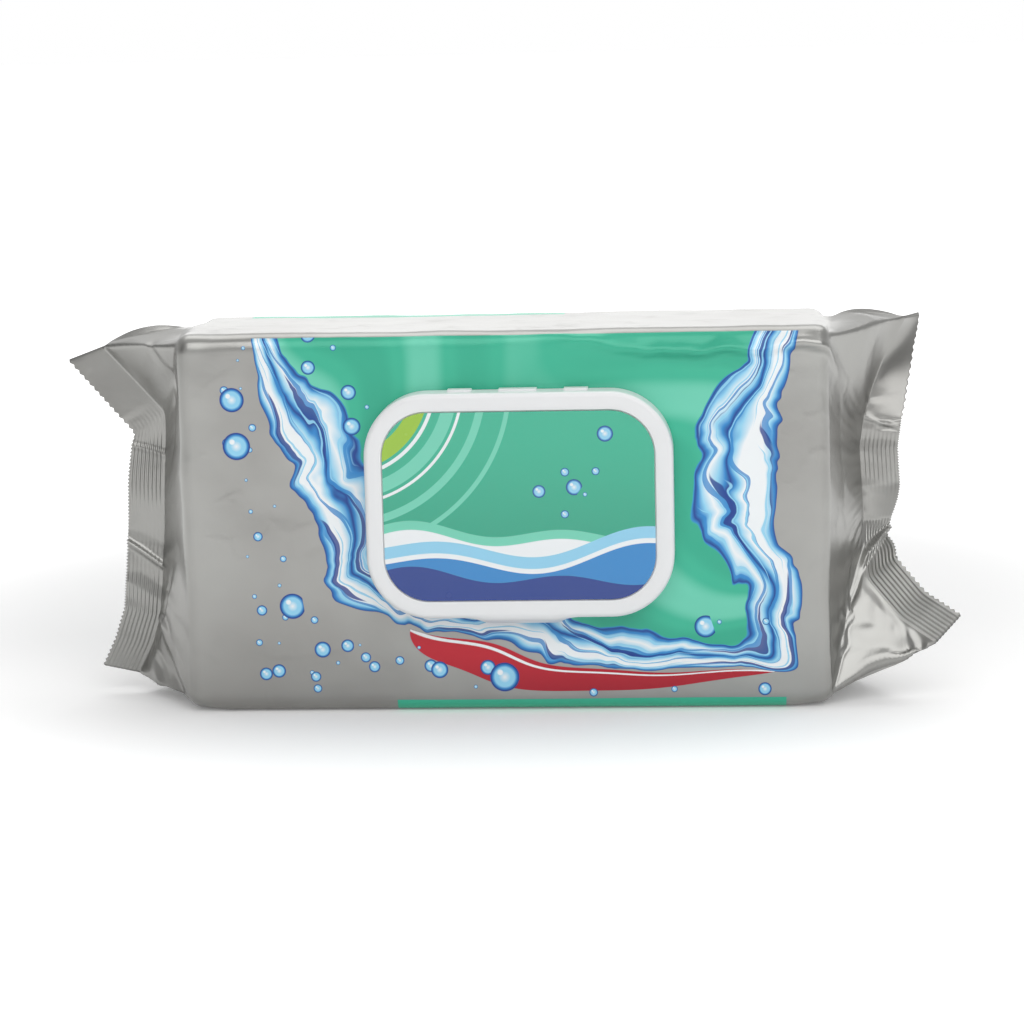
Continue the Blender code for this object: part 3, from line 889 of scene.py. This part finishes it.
# Folds that run through the free film. Each is the side of the film, -1 in front and 1 behind, how far it
# reaches to either side as a share of the free film, or 0 for all of it, and its stops: the share round the
# film, how far out it lies between the filled part and the seal, and its height in millimetres.
LEFT_FOLDS = (
    (-1, 0, ((0.0, 0.93, 0.3), (0.08, 0.88, 1.4), (0.20, 0.68, 3.2), (0.32, 0.50, 2.4), (0.42, 0.36, 0.0))),
    (-1, 0.11, ((0.03, 0.97, 0.0), (0.10, 0.91, -1.2), (0.22, 0.76, -1.5), (0.33, 0.60, -1.2), (0.42, 0.5, 0.0))),
    (-1, 0, ((0.60, 0.70, 0.0), (0.70, 0.78, -1.8), (0.80, 0.62, -2.2), (0.86, 0.45, 0.0))),
    (-1, 0.09, ((0.78, 0.50, 0.0), (0.82, 0.46, -1.1), (0.88, 0.40, -1.1), (0.93, 0.32, 0.0))),
    (-1, 0, ((0.84, 0.30, 0.0), (0.90, 0.42, 0.8), (0.97, 0.62, 0.4), (1.0, 0.70, 0.0))),
    (1, 0, ((0.0, 0.80, 0.3), (0.12, 0.66, 2.0), (0.30, 0.40, 0.0))),
    (1, 0, ((0.62, 0.40, 0.0), (0.80, 0.55, 1.6), (0.95, 0.80, 0.4))),
)
RIGHT_FOLDS = (
    (-1, 0, ((0.0, 0.55, 0.3), (0.05, 0.60, 0.6), (0.11, 0.62, -2.2), (0.22, 0.60, -1.6), (0.34, 0.70, 0.0))),
    (-1, 0, ((0.0, 0.93, 0.3), (0.07, 0.84, 1.6), (0.15, 0.70, 1.2), (0.20, 0.60, 0.0))),
    (-1, 0.10, ((0.01, 0.98, 0.0), (0.05, 0.86, 1.6), (0.11, 0.64, 1.9), (0.17, 0.42, 1.2), (0.2, 0.35, 0.0))),
    (-1, 0.07, ((0.02, 0.93, 0.0), (0.05, 0.78, -1.2), (0.10, 0.50, -1.4), (0.14, 0.30, 0.0))),
    (-1, 0.07, ((0.08, 0.96, 0.0), (0.12, 0.80, 0.9), (0.18, 0.62, 1.1), (0.25, 0.56, 0.7), (0.32, 0.60, 0.0))),
    (-1, 0, ((0.36, 0.50, 0.0), (0.55, 0.46, -0.8), (0.72, 0.42, -0.6), (0.80, 0.30, 0.0))),
    (-1, 0, ((0.80, 0.62, 0.0), (0.88, 0.56, 1.0), (0.96, 0.48, 0.8), (1.0, 0.40, 0.0))),
    (1, 0, ((0.0, 0.60, 0.3), (0.15, 0.50, 2.0), (0.34, 0.36, 0.0))),
    (1, 0, ((0.60, 0.36, 0.0), (0.78, 0.52, 1.8), (0.94, 0.74, 0.4))),
)


def fold_heights(folds, shares, part, facing_sign):
    """The height of the folds round one ring of the free film: straight up to each crease and down again."""
    total = np.zeros_like(shares)
    for side, reach, stops in folds:
        if side != facing_sign:
            continue
        table = np.array(stops)
        crease = np.interp(shares, table[:, 0], table[:, 1])
        height = np.interp(shares, table[:, 0], table[:, 2], left=0.0, right=0.0)
        if reach:
            rise = 1 - np.abs(part - crease) / reach
        else:
            rise = np.minimum(part / crease, (1 - part) / (1 - crease))
        total += height * np.clip(rise, 0, 1)
    return total * MM


# How crumpled the free film is, and how far it is gathered into pleats, at shares round the flattened film
ROUGH_AT = ((0.0, 0.22, 0.34, 0.80, 0.90, 1.0), (1.2, 1.2, 0.3, 0.3, 0.6, 0.6))
GATHERED_LEFT = ((0.0, 0.15, 0.3, 0.7, 0.8, 1.0), (0.2, 0.3, 0.35, 0.4, 0.1, 0.0))
GATHERED_RIGHT = ((0.0, 0.18, 0.26, 0.7, 0.85, 1.0), (1.0, 0.9, 0.3, 0.2, 0.1, 0.1))
PLEAT_SPACING = 0.0068
PLEAT_HEIGHT = 0.0006
CREST_HALF_WIDTH = 0.0024
SECOND_CREST_HALF_WIDTH = 0.0022
SECOND_CREST_BELOW = 0.0035
CRUSHED_SPAN = (0.73, 0.85)


def slack_and_facets(places, uvs, share, in_free):
    """The film's soft slack, and its crumpled facets where it is free."""
    slack = 0.00045 * noise_over(places, 0.034, 3.1) + 0.00016 * noise_over(places, 0.013, 9.7)
    large = crumple(places, uvs, 0.017, 0.012, 2.3)
    small = crumple(places, uvs, 0.008, 0.007, 6.1)
    facets = in_free * np.interp(share, *ROUGH_AT) * (0.0010 * large + 0.00030 * small)
    return slack + (facets + (1 - in_free) * 0.00012 * large)


def pleats(places, uvs, share):
    """Short pleats that run from the seal into the free film, most of all at the lower right."""
    on_left = places[..., 0] < 0
    gathered = np.where(on_left, np.interp(share, *GATHERED_LEFT), np.interp(share, *GATHERED_RIGHT))
    part = np.clip((np.abs(uvs[..., 0]) - HALF_LENGTH) / FREE_FILM, 0, 1)
    turns = uvs[..., 1] / PLEAT_SPACING + 1.1 * noise_over(places, 0.020, 21.0)
    pleat = np.abs(turns - np.round(turns)) * 4 - 1
    strength = gathered * (0.6 + 0.6 * noise_over(places, 0.026, 33.0))
    return PLEAT_HEIGHT * pleat * strength * part**2


def upper_crests(x, uvs):
    """A pinched crest that wanders down from the upper front edge, and a second one below it in places."""
    line = np.stack([x, np.full_like(x, 0.3), np.full_like(x, 0.7)], -1)
    to_right = smooth_step(x, -0.01, 0.06)
    below = 0.0010 + 0.0045 * to_right * (1 + noise_over(line, 0.017, 1.7))
    below = below + 0.0012 * noise_over(line, 0.006, 4.1)
    height = 0.0011 * to_right + (0.0002 + 0.0006 * to_right) * (1 + noise_over(line, 0.011, 7.7))
    second = below + SECOND_CREST_BELOW + 0.0015 * noise_over(line, 0.012, 14.2)
    rise = 0.0006 * to_right * np.clip(noise_over(line, 0.018, 25.1) * 3, 0, 1)
    under_edge = PACK_HEIGHT - uvs[..., 1]
    crest = np.maximum(height, 0) * np.clip(1 - np.abs(under_edge - below) / CREST_HALF_WIDTH, 0, 1)
    return np.maximum(crest, rise * np.clip(1 - np.abs(under_edge - second) / SECOND_CREST_HALF_WIDTH, 0, 1))


def seal_sway(places, uvs, across, share):
    """How far each seal bends out of its plain form: slow sway, slanting folds and a crushed patch."""
    x = places[..., 0]
    across = across[:, None]
    sway = 0.0006 * noise_over(places, 0.022, 41.0) + 0.0003 * crumple(places, uvs, 0.012, 0.009, 8.8)
    for side, folds in ((-1, SEAL_FOLDS_LEFT), (1, SEAL_FOLDS_RIGHT)):
        for inner, outer, reach, height in folds:
            away = np.abs(share - inner - (outer - inner) * across) / reach
            sway += np.where(side * x > 0, height * MM * np.clip(1 - away, 0, 1), 0.0)
    low, high = CRUSHED_SPAN
    patch = smooth_step(share, low, low + 0.04) * smooth_step(-share, -high, 0.05 - high)
    crushed = np.where(x > 0, patch, 0.0)
    return sway + 0.0006 * crushed * smooth_step(across, 0.2, 0.6) * crumple(places, uvs, 0.0045, 0.0045, 5.2)


def shape_film(places, uvs, across, facing):
    """Adds the film's slack, folds and creases to its plain form."""
    normals = grid_normals(places)
    x = places[..., 0]
    in_free = smooth_step(np.abs(x), HALF_LENGTH - 0.003, HALF_LENGTH + 0.005)
    clear_of_lid = smooth_step(lid_distance(places), 0.002, 0.016)
    on_front = smooth_step(-normals[..., 1], 0.6, 0.9)
    on_floor = smooth_step(-normals[..., 2], 0.5, 0.9) * (1 - in_free)
    free = (1 - on_floor) * np.where(on_front > 0, 1 - on_front * (1 - clear_of_lid), 1.0)
    share = 1 - np.abs(1 - (uvs[..., 1] + HALF_LOOP / 2 - PACK_HEIGHT / 2) / HALF_LOOP)
    to_seal = smooth_step(HALF_LENGTH + FREE_FILM - np.abs(uvs[..., 0]), 0.0, 0.003)
    offset = slack_and_facets(places, uvs, share, in_free) * free * to_seal
    offset += pleats(places, uvs, share) * to_seal
    offset += upper_crests(x, uvs) * (1 - in_free) * clear_of_lid
    sway = seal_sway(places, uvs, across, share) * (1 - to_seal)
    return places + normals * offset[..., None] + unit(facing) * sway[..., None]


def store(mesh, name, values, kind):
    """Keeps numbers or vectors on the points of a mesh, for the nodes that read them."""
    attribute = mesh.attributes.new(name, kind, "POINT")
    field = "vector" if kind == "FLOAT_VECTOR" else "value"
    attribute.data.foreach_set(field, np.asarray(values, np.float32).ravel())


def make_crimp_nodes():
    """Geometry nodes that press ridges into a seal and cut its edge into teeth."""
    group = bpy.data.node_groups.new("crimped_seal", "GeometryNodeTree")
    group.interface.new_socket("Geometry", in_out="INPUT", socket_type="NodeSocketGeometry")
    for name in ("Ridges", "Ridge Height", "Tooth Depth"):
        group.interface.new_socket(name, in_out="INPUT", socket_type="NodeSocketFloat")
    group.interface.new_socket("Material", in_out="INPUT", socket_type="NodeSocketMaterial")
    group.interface.new_socket("Geometry", in_out="OUTPUT", socket_type="NodeSocketGeometry")
    t = Tree(group)
    given, result = t.node("NodeGroupInput"), t.node("NodeGroupOutput")

    def attribute(name, kind):
        return t.node("GeometryNodeInputNamedAttribute", {"Name": name}, data_type=kind).outputs[0]

    across = attribute("across_seal", "FLOAT")
    turns = t.times(across, given.outputs["Ridges"])
    ridge = t.math("SINE", t.times(turns, 2 * math.pi))
    lift = t.times(t.times(ridge, given.outputs["Ridge Height"]), t.ease(across, 0.0, 0.06))
    pressed = t.vector("SCALE", attribute("seal_facing", "FLOAT_VECTOR"), scale=lift)
    at_edge = t.math("GREATER_THAN", across, 0.97)
    tooth = t.times(t.times(attribute("tooth", "FLOAT"), at_edge), given.outputs["Tooth Depth"])
    cut = t.vector("SCALE", attribute("seal_out", "FLOAT_VECTOR"), scale=tooth)
    inputs = {"Geometry": given.outputs["Geometry"], "Offset": t.vector("ADD", pressed, cut)}
    moved = t.node("GeometryNodeSetPosition", inputs)
    whole = t.node("GeometryNodeRealizeInstances", {"Geometry": moved.outputs[0]})
    inputs = {"Geometry": whole.outputs[0], "Material": given.outputs["Material"]}
    t.put(result.inputs[0], t.node("GeometryNodeSetMaterial", inputs).outputs[0])
    return group


def apply_nodes(made, group, values):
    """Runs a geometry node tree on an object and keeps the result as its plain mesh."""
    modifier = made.modifiers.new(group.name, "NODES")
    modifier.node_group = group
    for item in group.interface.items_tree:
        if item.item_type == "SOCKET" and item.in_out == "INPUT" and item.name in values:
            modifier[item.identifier] = values[item.name]
    bpy.context.view_layer.update()
    evaluated = made.evaluated_get(bpy.context.evaluated_depsgraph_get())
    plain = bpy.data.meshes.new_from_object(evaluated)
    made.modifiers.clear()
    made.data = plain
    return made


def grid_faces(rings, points):
    """Quads over a grid of closed rings, and the quads that close its first and last ring."""
    faces = []
    for i in range(rings - 1):
        for j in range(points):
            k = (j + 1) % points
            faces.append((i * points + j, i * points + k, (i + 1) * points + k, (i + 1) * points + j))
    half = points // 2
    for ring, turned in ((0, False), (rings - 1, True)):
        start = ring * points
        for j in range(half):
            corners = (j, j + 1, (points - j - 1) % points, (points - j) % points)
            corners = list(dict.fromkeys(start + c for c in corners))
            faces.append(tuple(corners[::-1] if turned else corners))
    return faces


LOW_CORNER_LIFT = 0.0016


def lift_low_corners(places):
    """Lifts the film a little off the floor at the filled part's lower corners."""
    x, y, z = (places[..., i] for i in range(3))
    corner = smooth_step(np.abs(x), 0.080, 0.094) * smooth_step(-z, -0.007, 0.0)
    in_body = np.abs(x) < HALF_LENGTH + FREE_FILM / 2
    lift = LOW_CORNER_LIFT * corner * in_body * smooth_step(np.abs(y), 0.020, 0.029)
    places[..., 2] = np.maximum(z + lift, 0.0)
    return places


def make_film(material, crimp_nodes):
    """The formed film as one mesh, with ridges pressed into its seals and teeth cut in their edges."""
    places, uvs, across, facing, out = film_grid()
    places = lift_low_corners(shape_film(places, uvs, across, facing))
    rings, points = places.shape[:2]
    faces = grid_faces(rings, points)
    film = mesh_object("film_wrap", places.reshape(-1, 3), faces, material, uvs.reshape(-1, 2), None)
    face_out(film)
    store(film.data, "across_seal", np.repeat(across, points), "FLOAT")
    store(film.data, "seal_facing", facing, "FLOAT_VECTOR")
    store(film.data, "seal_out", out, "FLOAT_VECTOR")
    store(film.data, "tooth", np.tile(np.where(np.arange(points) % 2, 0.5, -0.5), rings), "FLOAT")
    values = {"Ridges": float(CRIMP_RIDGES), "Ridge Height": CRIMP_HEIGHT}
    values |= {"Tooth Depth": TOOTH_DEPTH, "Material": material}
    apply_nodes(film, crimp_nodes, values)
    dress(film, "pack", "silver_film", "film_pack")
    return places, uvs


SEAM_RIBS = 7
SEAM_RIB_HEIGHT = 0.00012
SEAM_LIFT = 0.00022
SEAM_LOOSE_LIFT = 0.00055


def make_back_seam(places, uvs, material):
    """The seam down the back: a ribbed strip of film that lies folded over to one side, from end to end."""
    girth = uvs[0, :, 1]
    middle = HALF_LOOP + PACK_HEIGHT / 2
    columns = np.flatnonzero(np.abs(girth - middle) <= FIN_WIDTH / 2)
    across = (girth[columns] - middle) / FIN_WIDTH + 0.5
    base = places[:, columns]
    normals = grid_normals(places)[:, columns]
    ribs = SEAM_RIB_HEIGHT * np.sin(across * 2 * math.pi * SEAM_RIBS)
    length = uvs[:, columns[:1], 0]
    loose = smooth_step(HALF_LENGTH + FREE_FILM * 0.8 - np.abs(length), 0.0, 0.012)
    ripple = 1 + np.sin(length / 0.019) * np.sin(length / 0.0083)
    lift = SEAM_LIFT + SEAM_LOOSE_LIFT * loose * across**2 * ripple
    rings, points = base.shape[:2]
    low = base + normals * (lift - FIN_THICKNESS / 2 + ribs)[..., None]
    high = base + normals * (lift + FIN_THICKNESS / 2 + ribs)[..., None]
    loop = np.concatenate([high, low[:, ::-1]], axis=1)
    faces = grid_faces(rings, 2 * points)
    flat = np.repeat(uvs[:, columns], 2, axis=1)
    seam = mesh_object("back_seam", loop.reshape(-1, 3), faces, material, flat.reshape(-1, 2), None)
    face_out(seam)
    return dress(seam, "pack", "silver_film")


# The lid

CORNER_STEPS = 20
TAB_STEPS = 40
TAB_FLANK = 0.22
MOULD_RADIUS = 0.00025
COLLAR_RADIUS = 0.0005
SHEET_RADIUS = 0.00008


def tab_height(across, width, reach):
    """How far a thumb tab stands out of an edge at a distance from its middle."""
    part = min(1.0, max(0.0, (width / 2 - abs(across)) / (TAB_FLANK * width)))
    return reach * part * part * (3 - 2 * part)


def outline(width, height, corner, y, tab_width=TAB_WIDTH, tab_reach=0.0):
    """A rounded rectangle round the lid's middle at a depth y, with a thumb tab in its lower edge."""
    across, up = width / 2 - corner, height / 2 - corner
    points = []
    for centre_x, centre_z, start in ((across, up, 0), (-across, up, 1), (-across, -up, 2), (across, -up, 3)):
        for i in range(CORNER_STEPS + 1):
            turn = math.pi / 2 * (start + i / CORNER_STEPS)
            points.append((centre_x + corner * math.cos(turn), centre_z + corner * math.sin(turn)))
        if start == 2:
            for i in range(1, TAB_STEPS):
                x = (i / TAB_STEPS - 0.5) * min(tab_width * 1.04, 1.96 * across)
                points.append((x, -height / 2 - tab_height(x, tab_width, tab_reach)))
    return [(LID_OFFSET_X + x, y, LID_CENTRE_UP + z) for x, z in points]


def lid_ring(inset, y, tab=0.0):
    """The lid's outline, moved in from its edge by an inset."""
    corner = max(LID_CORNER - inset, 0.001)
    return outline(LID_WIDTH - 2 * inset, LID_HEIGHT - 2 * inset, corner, y, tab_reach=TAB_REACH * tab)


def window_ring(outset, y):
    """The window's outline, moved out from its edge by an outset."""
    return outline(WINDOW_WIDTH + 2 * outset, WINDOW_HEIGHT + 2 * outset, WINDOW_CORNER + outset, y)


def lofted(name, rings, material, closed):
    """Joins rings that match point by point. closed joins last to first, or else both ends get a face."""
    count = len(rings[0])
    points = [p for ring in rings for p in ring]
    faces = []
    steps = len(rings) if closed else len(rings) - 1
    for i in range(steps):
        a, b = i * count, (i + 1) % len(rings) * count
        for j in range(count):
            k = (j + 1) % count
            faces.append((a + j, a + k, b + k, b + j))
    if not closed:
        faces.append(tuple(range(count)))
        faces.append(tuple(range((len(rings) - 1) * count, len(rings) * count)))
    made = mesh_object(name, points, faces, material)
    face_out(made)
    return made


def soft_edge(ring_of, inset, y, way, radius=MOULD_RADIUS):
    """Rings round an edge, from the wall at an inset to the face at y. way is 1 where the face lies inside."""
    steps = ((0.0, 1.0), (0.3, 0.3), (1.0, 0.0))
    return [ring_of(inset + way * radius * part, y + radius * back) for part, back in steps]


def make_lid_frame(material):
    """The frame that is stuck to the film, with its collar round the window."""
    r = MOULD_RADIUS
    rings = [lid_ring(0.0, LID_BACK_Y)]
    rings += soft_edge(lid_ring, 0.0, FRAME_FRONT_Y, 1)
    rings += soft_edge(lid_ring, FRAME_WALL, FRAME_FRONT_Y, -1)[::-1]
    rings += [
        lid_ring(FRAME_WALL, FRAME_FLOOR_Y - r),
        lid_ring(FRAME_WALL + r, FRAME_FLOOR_Y),
        window_ring(COLLAR_WALL + r, FRAME_FLOOR_Y),
        window_ring(COLLAR_WALL, FRAME_FLOOR_Y - r),
    ]
    rings += soft_edge(window_ring, COLLAR_WALL, COLLAR_FRONT_Y, -1, COLLAR_RADIUS)
    rings += soft_edge(window_ring, 0.0, COLLAR_FRONT_Y, 1, COLLAR_RADIUS)[::-1]
    rings.append(window_ring(0.0, LID_BACK_Y))
    made = lofted("lid_base", rings, material, closed=True)
    return dress(made, "pack", "white_plastic", "lid_frame")


EDGE_STEPS = 8
WALL_STEPS = 6


def cover_outside():
    """Rings over the cover's rim and down its wall, where the thumb tab grows out of it."""
    depth = COVER_FRONT_Y - COVER_BACK_Y
    levels = []
    for i in range(EDGE_STEPS + 1):
        turn = math.pi / 2 * i / EDGE_STEPS
        inset = COVER_EDGE_RADIUS * (1 - math.sin(turn))
        levels.append((inset, COVER_FRONT_Y + COVER_EDGE_RADIUS * (1 - math.cos(turn))))
    first, last = COVER_FRONT_Y + COVER_EDGE_RADIUS, COVER_BACK_Y - MOULD_RADIUS
    for i in range(1, WALL_STEPS + 1):
        levels.append((0.0, first + (last - first) * i / WALL_STEPS))
    return [lid_ring(inset, y, max(0.0, (COVER_FRONT_Y - y) / depth) ** 0.7) for inset, y in levels]


def cover_inside():
    """Rings from the cover's back edge over its ceiling and round its sealing skirt."""
    r = MOULD_RADIUS
    skirt_in = COLLAR_WALL + SKIRT_CLEARANCE
    skirt_out = skirt_in + SKIRT_WALL
    return [
        lid_ring(r * 0.3, COVER_BACK_Y - r * 0.3, 1.0),
        lid_ring(r, COVER_BACK_Y, 1.0),
        lid_ring(COVER_WALL - r, COVER_BACK_Y),
        lid_ring(COVER_WALL, COVER_BACK_Y - r),
        lid_ring(COVER_WALL, CEILING_Y + r),
        lid_ring(COVER_WALL + r, CEILING_Y),
        window_ring(skirt_out + r, CEILING_Y),
        window_ring(skirt_out, CEILING_Y + r),
        window_ring(skirt_out, SKIRT_Y - r),
        window_ring(skirt_out - r, SKIRT_Y),
        window_ring(skirt_in + r, SKIRT_Y),
        window_ring(skirt_in, SKIRT_Y - r),
        window_ring(skirt_in, CEILING_Y + r),
        window_ring(skirt_in - r, CEILING_Y),
    ]


def make_lid_cover(material):
    """The cover: a shallow shell with a recess for its label, a thumb tab and a sealing skirt."""
    floor_y = COVER_FRONT_Y + LABEL_RECESS
    rings = [lid_ring(RIM_WIDTH + MOULD_RADIUS, floor_y), lid_ring(RIM_WIDTH, floor_y - MOULD_RADIUS * 0.5)]
    rings += soft_edge(lid_ring, RIM_WIDTH, COVER_FRONT_Y, -1)
    made = lofted("lid_shell", rings + cover_outside() + cover_inside(), material, closed=False)
    return dress(made, "lid", "white_plastic", "lid_cover", "lid_skirt")


def thin_sheet(name, ring_of, back_y, front_y, material):
    """A thin sheet whose front edge is a little rounded."""
    rings = [ring_of(0.0, back_y), ring_of(0.0, front_y + SHEET_RADIUS), ring_of(SHEET_RADIUS, front_y)]
    return lofted(name, rings, material, closed=False)


def make_label(material):
    """The printed label in the cover's recess."""

    def ring(inset, y):
        return lid_ring(RIM_WIDTH + LABEL_CLEARANCE + inset, y)

    made = thin_sheet("cover_label", ring, COVER_FRONT_Y + LABEL_THICKNESS, COVER_FRONT_Y, material)
    return dress(made, "lid", "green_label", "lid_label")


def make_peel_seal(material):
    """The film seal in the window, with its pull tab."""
    width, height = WINDOW_WIDTH - 2 * PEEL_MARGIN, WINDOW_HEIGHT - 2 * PEEL_MARGIN
    corner = WINDOW_CORNER - PEEL_MARGIN

    def ring(inset, y):
        across, up = width - 2 * inset, height - 2 * inset
        return outline(across, up, corner - inset, y, PEEL_TAB_WIDTH, PEEL_TAB_REACH)

    made = thin_sheet("window_seal", ring, LID_BACK_Y, LID_BACK_Y - PEEL_THICKNESS, material)
    return dress(made, "pack", "seal_film", "peel_seal")


# The living hinge


LUG_RADIUS = 0.00015
LUG_DEPTH = 0.0018
LUG_FOOT = 0.0008
WEB_RADIUS = 0.00006
WEB_INSET = 0.0004
WEB_OVERLAP = 0.0006
WEB_SPAN = (0.0004, 0.0001)


def make_block(name, low, high, material, edge):
    """A block with rounded edges."""
    bm = bmesh.new()
    bmesh.ops.create_cube(bm, size=1.0)
    low, high = Vector(low), Vector(high)
    for vertex in bm.verts:
        vertex.co = Vector(a + (b - a) * (c + 0.5) for a, b, c in zip(low, high, vertex.co))
    bmesh.ops.bevel(bm, geom=bm.edges, offset=edge, segments=3, profile=0.5, affect="EDGES")
    mesh = bpy.data.meshes.new(name)
    bm.to_mesh(mesh)
    bm.free()
    mesh.materials.append(material)
    mesh.shade_smooth()
    made = bpy.data.objects.new(name, mesh)
    bpy.context.scene.collection.objects.link(made)
    return made


def make_hinge(material):
    """Three webs of the living hinge, each between a lug on the frame and a lug on the cover."""
    top = LID_CENTRE_UP + LID_HEIGHT / 2
    outer = top + HINGE_STAND_OUT
    for number, (offset, width) in enumerate(HINGE_WEBS, 1):
        x = LID_OFFSET_X + offset
        lugs = (("pack", "frame", FRAME_FRONT_Y), ("lid", "cover", COVER_BACK_Y - LUG_DEPTH))
        for body, part, low_y in lugs:
            low, high = (x - width / 2, low_y, top - LUG_FOOT), (x + width / 2, low_y + LUG_DEPTH, outer)
            lug = make_block(f"{part}_hinge_lug_{number}", low, high, material, LUG_RADIUS)
            dress(lug, body, "white_plastic")
        half = width / 2 - WEB_INSET
        web_low = (x - half, COVER_BACK_Y - WEB_OVERLAP, outer - WEB_SPAN[0])
        web_high = (x + half, FRAME_FRONT_Y + WEB_OVERLAP, outer - WEB_SPAN[1])
        web = make_block(f"hinge_web_{number}", web_low, web_high, material, WEB_RADIUS)
        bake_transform(web)


# Camera, light and floor

CAMERA_AZIMUTH = math.radians(4.0)
CAMERA_ELEVATION = math.radians(9.3)
CAMERA_ROLL = math.radians(1.36)
CAMERA_DISTANCE = 0.85
CAMERA_LENS = 101.0
CAMERA_SHIFT = (0.0014, -0.0054)
CAMERA_TARGET = Vector((0.0, 0.0, PACK_HEIGHT / 2))

WORLD_LEVEL = 0.38
# Each lamp's name, place, target, size and power
LAMPS = (
    ("overhead", (0.1, 0.4, 1.1), (0, 0, 0.06), (1.4, 0.8), 5.5),
    ("behind", (0.3, 2.2, 0.50), (0, 0, 0.08), (2.0, 0.5), 3.5),
    ("front", (0.3, -1.15, 0.95), (0, 0, 0.06), (1.9, 1.1), 14.4),
)
FLOOR_WHITE = (0.92, 0.92, 0.92, 1.0)
FLOOR_HALF = 30.0
FLOOR_GAP = 0.0002
GLOW_CENTRE = (0.0, 0.12, 0.0)
GLOW_NEAR = 0.14
GLOW_FAR = 0.38
GLOW_LEVELS = (0.13, 0.80)


def add_camera():
    level = math.cos(CAMERA_ELEVATION)
    x, y = math.sin(CAMERA_AZIMUTH) * level, -math.cos(CAMERA_AZIMUTH) * level
    way = Vector((x, y, math.sin(CAMERA_ELEVATION)))
    data = bpy.data.cameras.new("camera")
    data.lens = CAMERA_LENS
    data.shift_x, data.shift_y = CAMERA_SHIFT
    camera = bpy.data.objects.new("camera", data)
    turn = way.to_track_quat("Z", "Y").to_matrix().to_4x4()
    place = Matrix.Translation(CAMERA_TARGET + way * CAMERA_DISTANCE)
    camera.matrix_world = place @ turn @ Matrix.Rotation(-CAMERA_ROLL, 4, "Z")
    bpy.context.scene.collection.objects.link(camera)
    bpy.context.scene.camera = camera


def add_area(name, place, target, size, power):
    data = bpy.data.lights.new(name, "AREA")
    data.shape = "RECTANGLE"
    data.size, data.size_y = size
    data.energy = power
    lamp = bpy.data.objects.new(name, data)
    way = Vector(place) - Vector(target)
    lamp.matrix_world = Matrix.Translation(place) @ way.to_track_quat("Z", "Y").to_matrix().to_4x4()
    bpy.context.scene.collection.objects.link(lamp)


def add_world(strength):
    """A white studio, darker at the sides and less so in front, that lights the object at a plain level."""
    world = bpy.data.worlds.new("studio")
    bpy.context.scene.world = world
    world.use_nodes = True
    t = Tree(world.node_tree)
    background = world.node_tree.nodes["Background"]
    background.inputs["Color"].default_value = (1.0, 1.0, 1.0, 1.0)
    way = t.split(t.node("ShaderNodeTexCoord").outputs["Generated"])
    side = t.ease(t.math("ABSOLUTE", way[0]), 0.3, 0.85, 0.0, 0.45)
    front = t.ease(way[1], -0.6, 0.1, 0.45, 0.0)
    level = t.minus(1.0, t.plus(side, front))
    path = t.node("ShaderNodeLightPath").outputs
    seen = t.larger(path["Is Glossy Ray"], path["Is Transmission Ray"])
    level = t.times(level, t.line(seen, 1 - strength, strength))
    t.put(background.inputs["Strength"], t.larger(path["Is Camera Ray"], level))


def add_floor():
    """A white floor that fades into the white backdrop, and keeps the object's shadow near it."""
    material, t, shader = new_material("studio_floor")
    shader.inputs["Base Color"].default_value = FLOOR_WHITE
    shader.inputs["Roughness"].default_value = 0.7
    shader.inputs["Specular IOR Level"].default_value = 0.2
    shader.inputs["Emission Color"].default_value = (1.0, 1.0, 1.0, 1.0)
    path = t.node("ShaderNodeLightPath").outputs
    away = t.vector("LENGTH", t.vector("SUBTRACT", t.place(), GLOW_CENTRE))
    glow = t.ease(away, GLOW_NEAR, GLOW_FAR, *GLOW_LEVELS)
    seen = t.larger(path["Is Camera Ray"], path["Is Glossy Ray"])
    t.put(shader.inputs["Emission Strength"], t.times(seen, glow))
    mesh = bpy.data.meshes.new("studio_floor")
    half = FLOOR_HALF
    corners = [(-half, -half, 0), (half, -half, 0), (half, half, 0), (-half, half, 0)]
    mesh.from_pydata(corners, [], [(0, 1, 2, 3)])
    mesh.materials.append(material)
    floor = bpy.data.objects.new("studio_floor", mesh)
    floor.location.z = -FLOOR_GAP
    bpy.context.scene.collection.objects.link(floor)


def main():
    bpy.context.scene.view_settings.view_transform = "Standard"
    add_camera()
    add_world(WORLD_LEVEL)
    for lamp in LAMPS:
        add_area(*lamp)
    add_floor()

    crinkle_group = make_crinkle_group()
    bubble_group = make_bubble_group()
    print_group = make_print_group(make_flow_group(), bubble_group)
    film = make_film_material(crinkle_group, print_group)
    silver, grey = (DULL_SILVER, SILVER, FILM_METALLIC), (SEAL_GREY, PALE_SEAL_GREY, SEAL_METALLIC)
    bare_film = make_bare_film_material(crinkle_group, "bare_silver_film", *silver)
    seal_film = make_bare_film_material(crinkle_group, "sealing_film", *grey)
    plastic = make_plastic_material()

    places, uvs = make_film(film, make_crimp_nodes())
    make_back_seam(places, uvs, bare_film)
    make_lid_frame(plastic)
    make_lid_cover(plastic)
    make_label(make_label_material(bubble_group))
    make_peel_seal(seal_film)
    make_hinge(plastic)


main()
